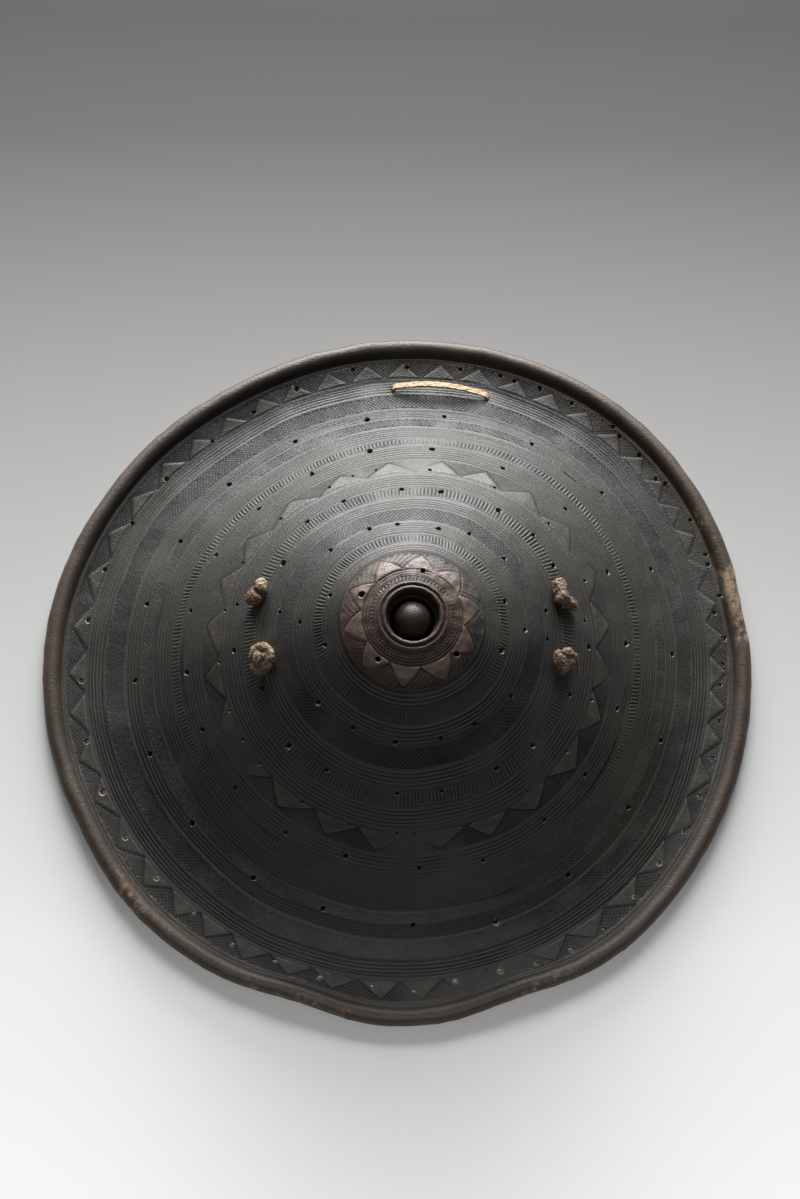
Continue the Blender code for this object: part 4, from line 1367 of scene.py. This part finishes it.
def wound_grip(finish):
    """A strip of hide wound round the two thongs, each turn lapping the one before."""
    mesh = bmesh.new()
    rows, sides = 150, 72
    rough = ripples(91, 0.004, 0.016, 24)
    loops = []
    for k in range(rows + 1):
        t = k / rows
        x = GRIP_HALF_LENGTH * (2.0 * t - 1.0)
        crown = 1.0 - 0.16 * abs(2.0 * t - 1.0) ** 3
        end = min(1.0, 40.0 * t + 0.82, 40.0 * (1.0 - t) + 0.82)
        loop = []
        for i in range(sides):
            turn = 2.0 * math.pi * i / sides
            lap = (GRIP_TURNS * t + turn / (2.0 * math.pi)) % 1.0
            fall = min(lap / 0.10, 1.0)
            thick = -0.0009 + 0.0009 * fall * (1.0 - 0.55 * lap) + 0.00012 * float(rough(x, 0.02 * turn))
            loop.append(mesh.verts.new((
                ORIGIN[0] + x,
                ORIGIN[1] + HANDLE_Y + (GRIP_HALF_WIDTH * crown + thick) * math.cos(turn) * end,
                GRIP_Z + (GRIP_HALF_HEIGHT * crown + thick) * math.sin(turn) * end,
            )))
        loops.append(loop)
    for upper, lower in zip(loops, loops[1:]):
        for i in range(sides):
            j = (i + 1) % sides
            mesh.faces.new((upper[i], upper[j], lower[j], lower[i]))
    mesh.faces.new(loops[0][::-1])
    mesh.faces.new(loops[-1])
    bmesh.ops.recalc_face_normals(mesh, faces=mesh.faces)
    data = bpy.data.meshes.new("wound_grip")
    mesh.to_mesh(data)
    mesh.free()
    data.materials.append(finish)
    data.shade_smooth()
    thing = bpy.data.objects.new("wound_grip", data)
    bpy.context.scene.collection.objects.link(thing)
    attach(thing, "root")
    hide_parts("grip_wrap")
    return thing


def hanging_strip(finish):
    """The pale strip near the top edge, uneven and softly curled like dried hide."""
    mesh = bmesh.new()
    mesh.from_mesh(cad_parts["hanging_thong"].data)
    thing = worked_skin("hanging_strip", mesh, 0.00032, 0.00022, 71, finish)
    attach(thing, "root")
    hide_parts("hanging_thong")
    return thing


def camera():
    """A long lens looking almost square on, from a little below and to the left of the boss."""
    tilt, yaw = math.radians(16.5), math.radians(2.0)
    back = Vector((-math.sin(yaw), -math.sin(tilt) * math.cos(yaw), math.cos(tilt) * math.cos(yaw))).normalized()
    right = Vector((0.0, 1.0, 0.0)).cross(back).normalized()
    up = back.cross(right)
    middle = Vector(ORIGIN) + Vector((0.0014, 0.0, -0.0204))
    data = bpy.data.cameras.new("camera")
    data.lens = 3565.0 * 36.0 / 1199.0
    data.sensor_width = 36.0
    thing = bpy.data.objects.new("camera", data)
    thing.location = middle + back * 2.5 + right * 0.001052 + up * 0.0582
    thing.rotation_euler = Matrix((right, up, back)).transposed().to_euler()
    bpy.context.scene.collection.objects.link(thing)
    bpy.context.scene.camera = thing


camera()
shield_hide((hide_leather(), raw_edge(), lip_painted_light()))
knot_finish = rawhide()
for piece, node, row, seed in (("upper_thong_and_knots", "upper_thong", 1, 51), ("lower_thong_and_knots", "lower_thong", -1, 55)):
    thong = handle_thong(piece, row, knot_finish, seed)
    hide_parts(node)
wound_grip(plain_leather("grip_hide", (0.045, 0.026, 0.016), (0.16, 0.09, 0.05), 0.6))
hanging_strip(plain_leather("pale_dried_strip", (0.26, 0.15, 0.075), (0.66, 0.47, 0.28), 0.6))
floor_and_lights()
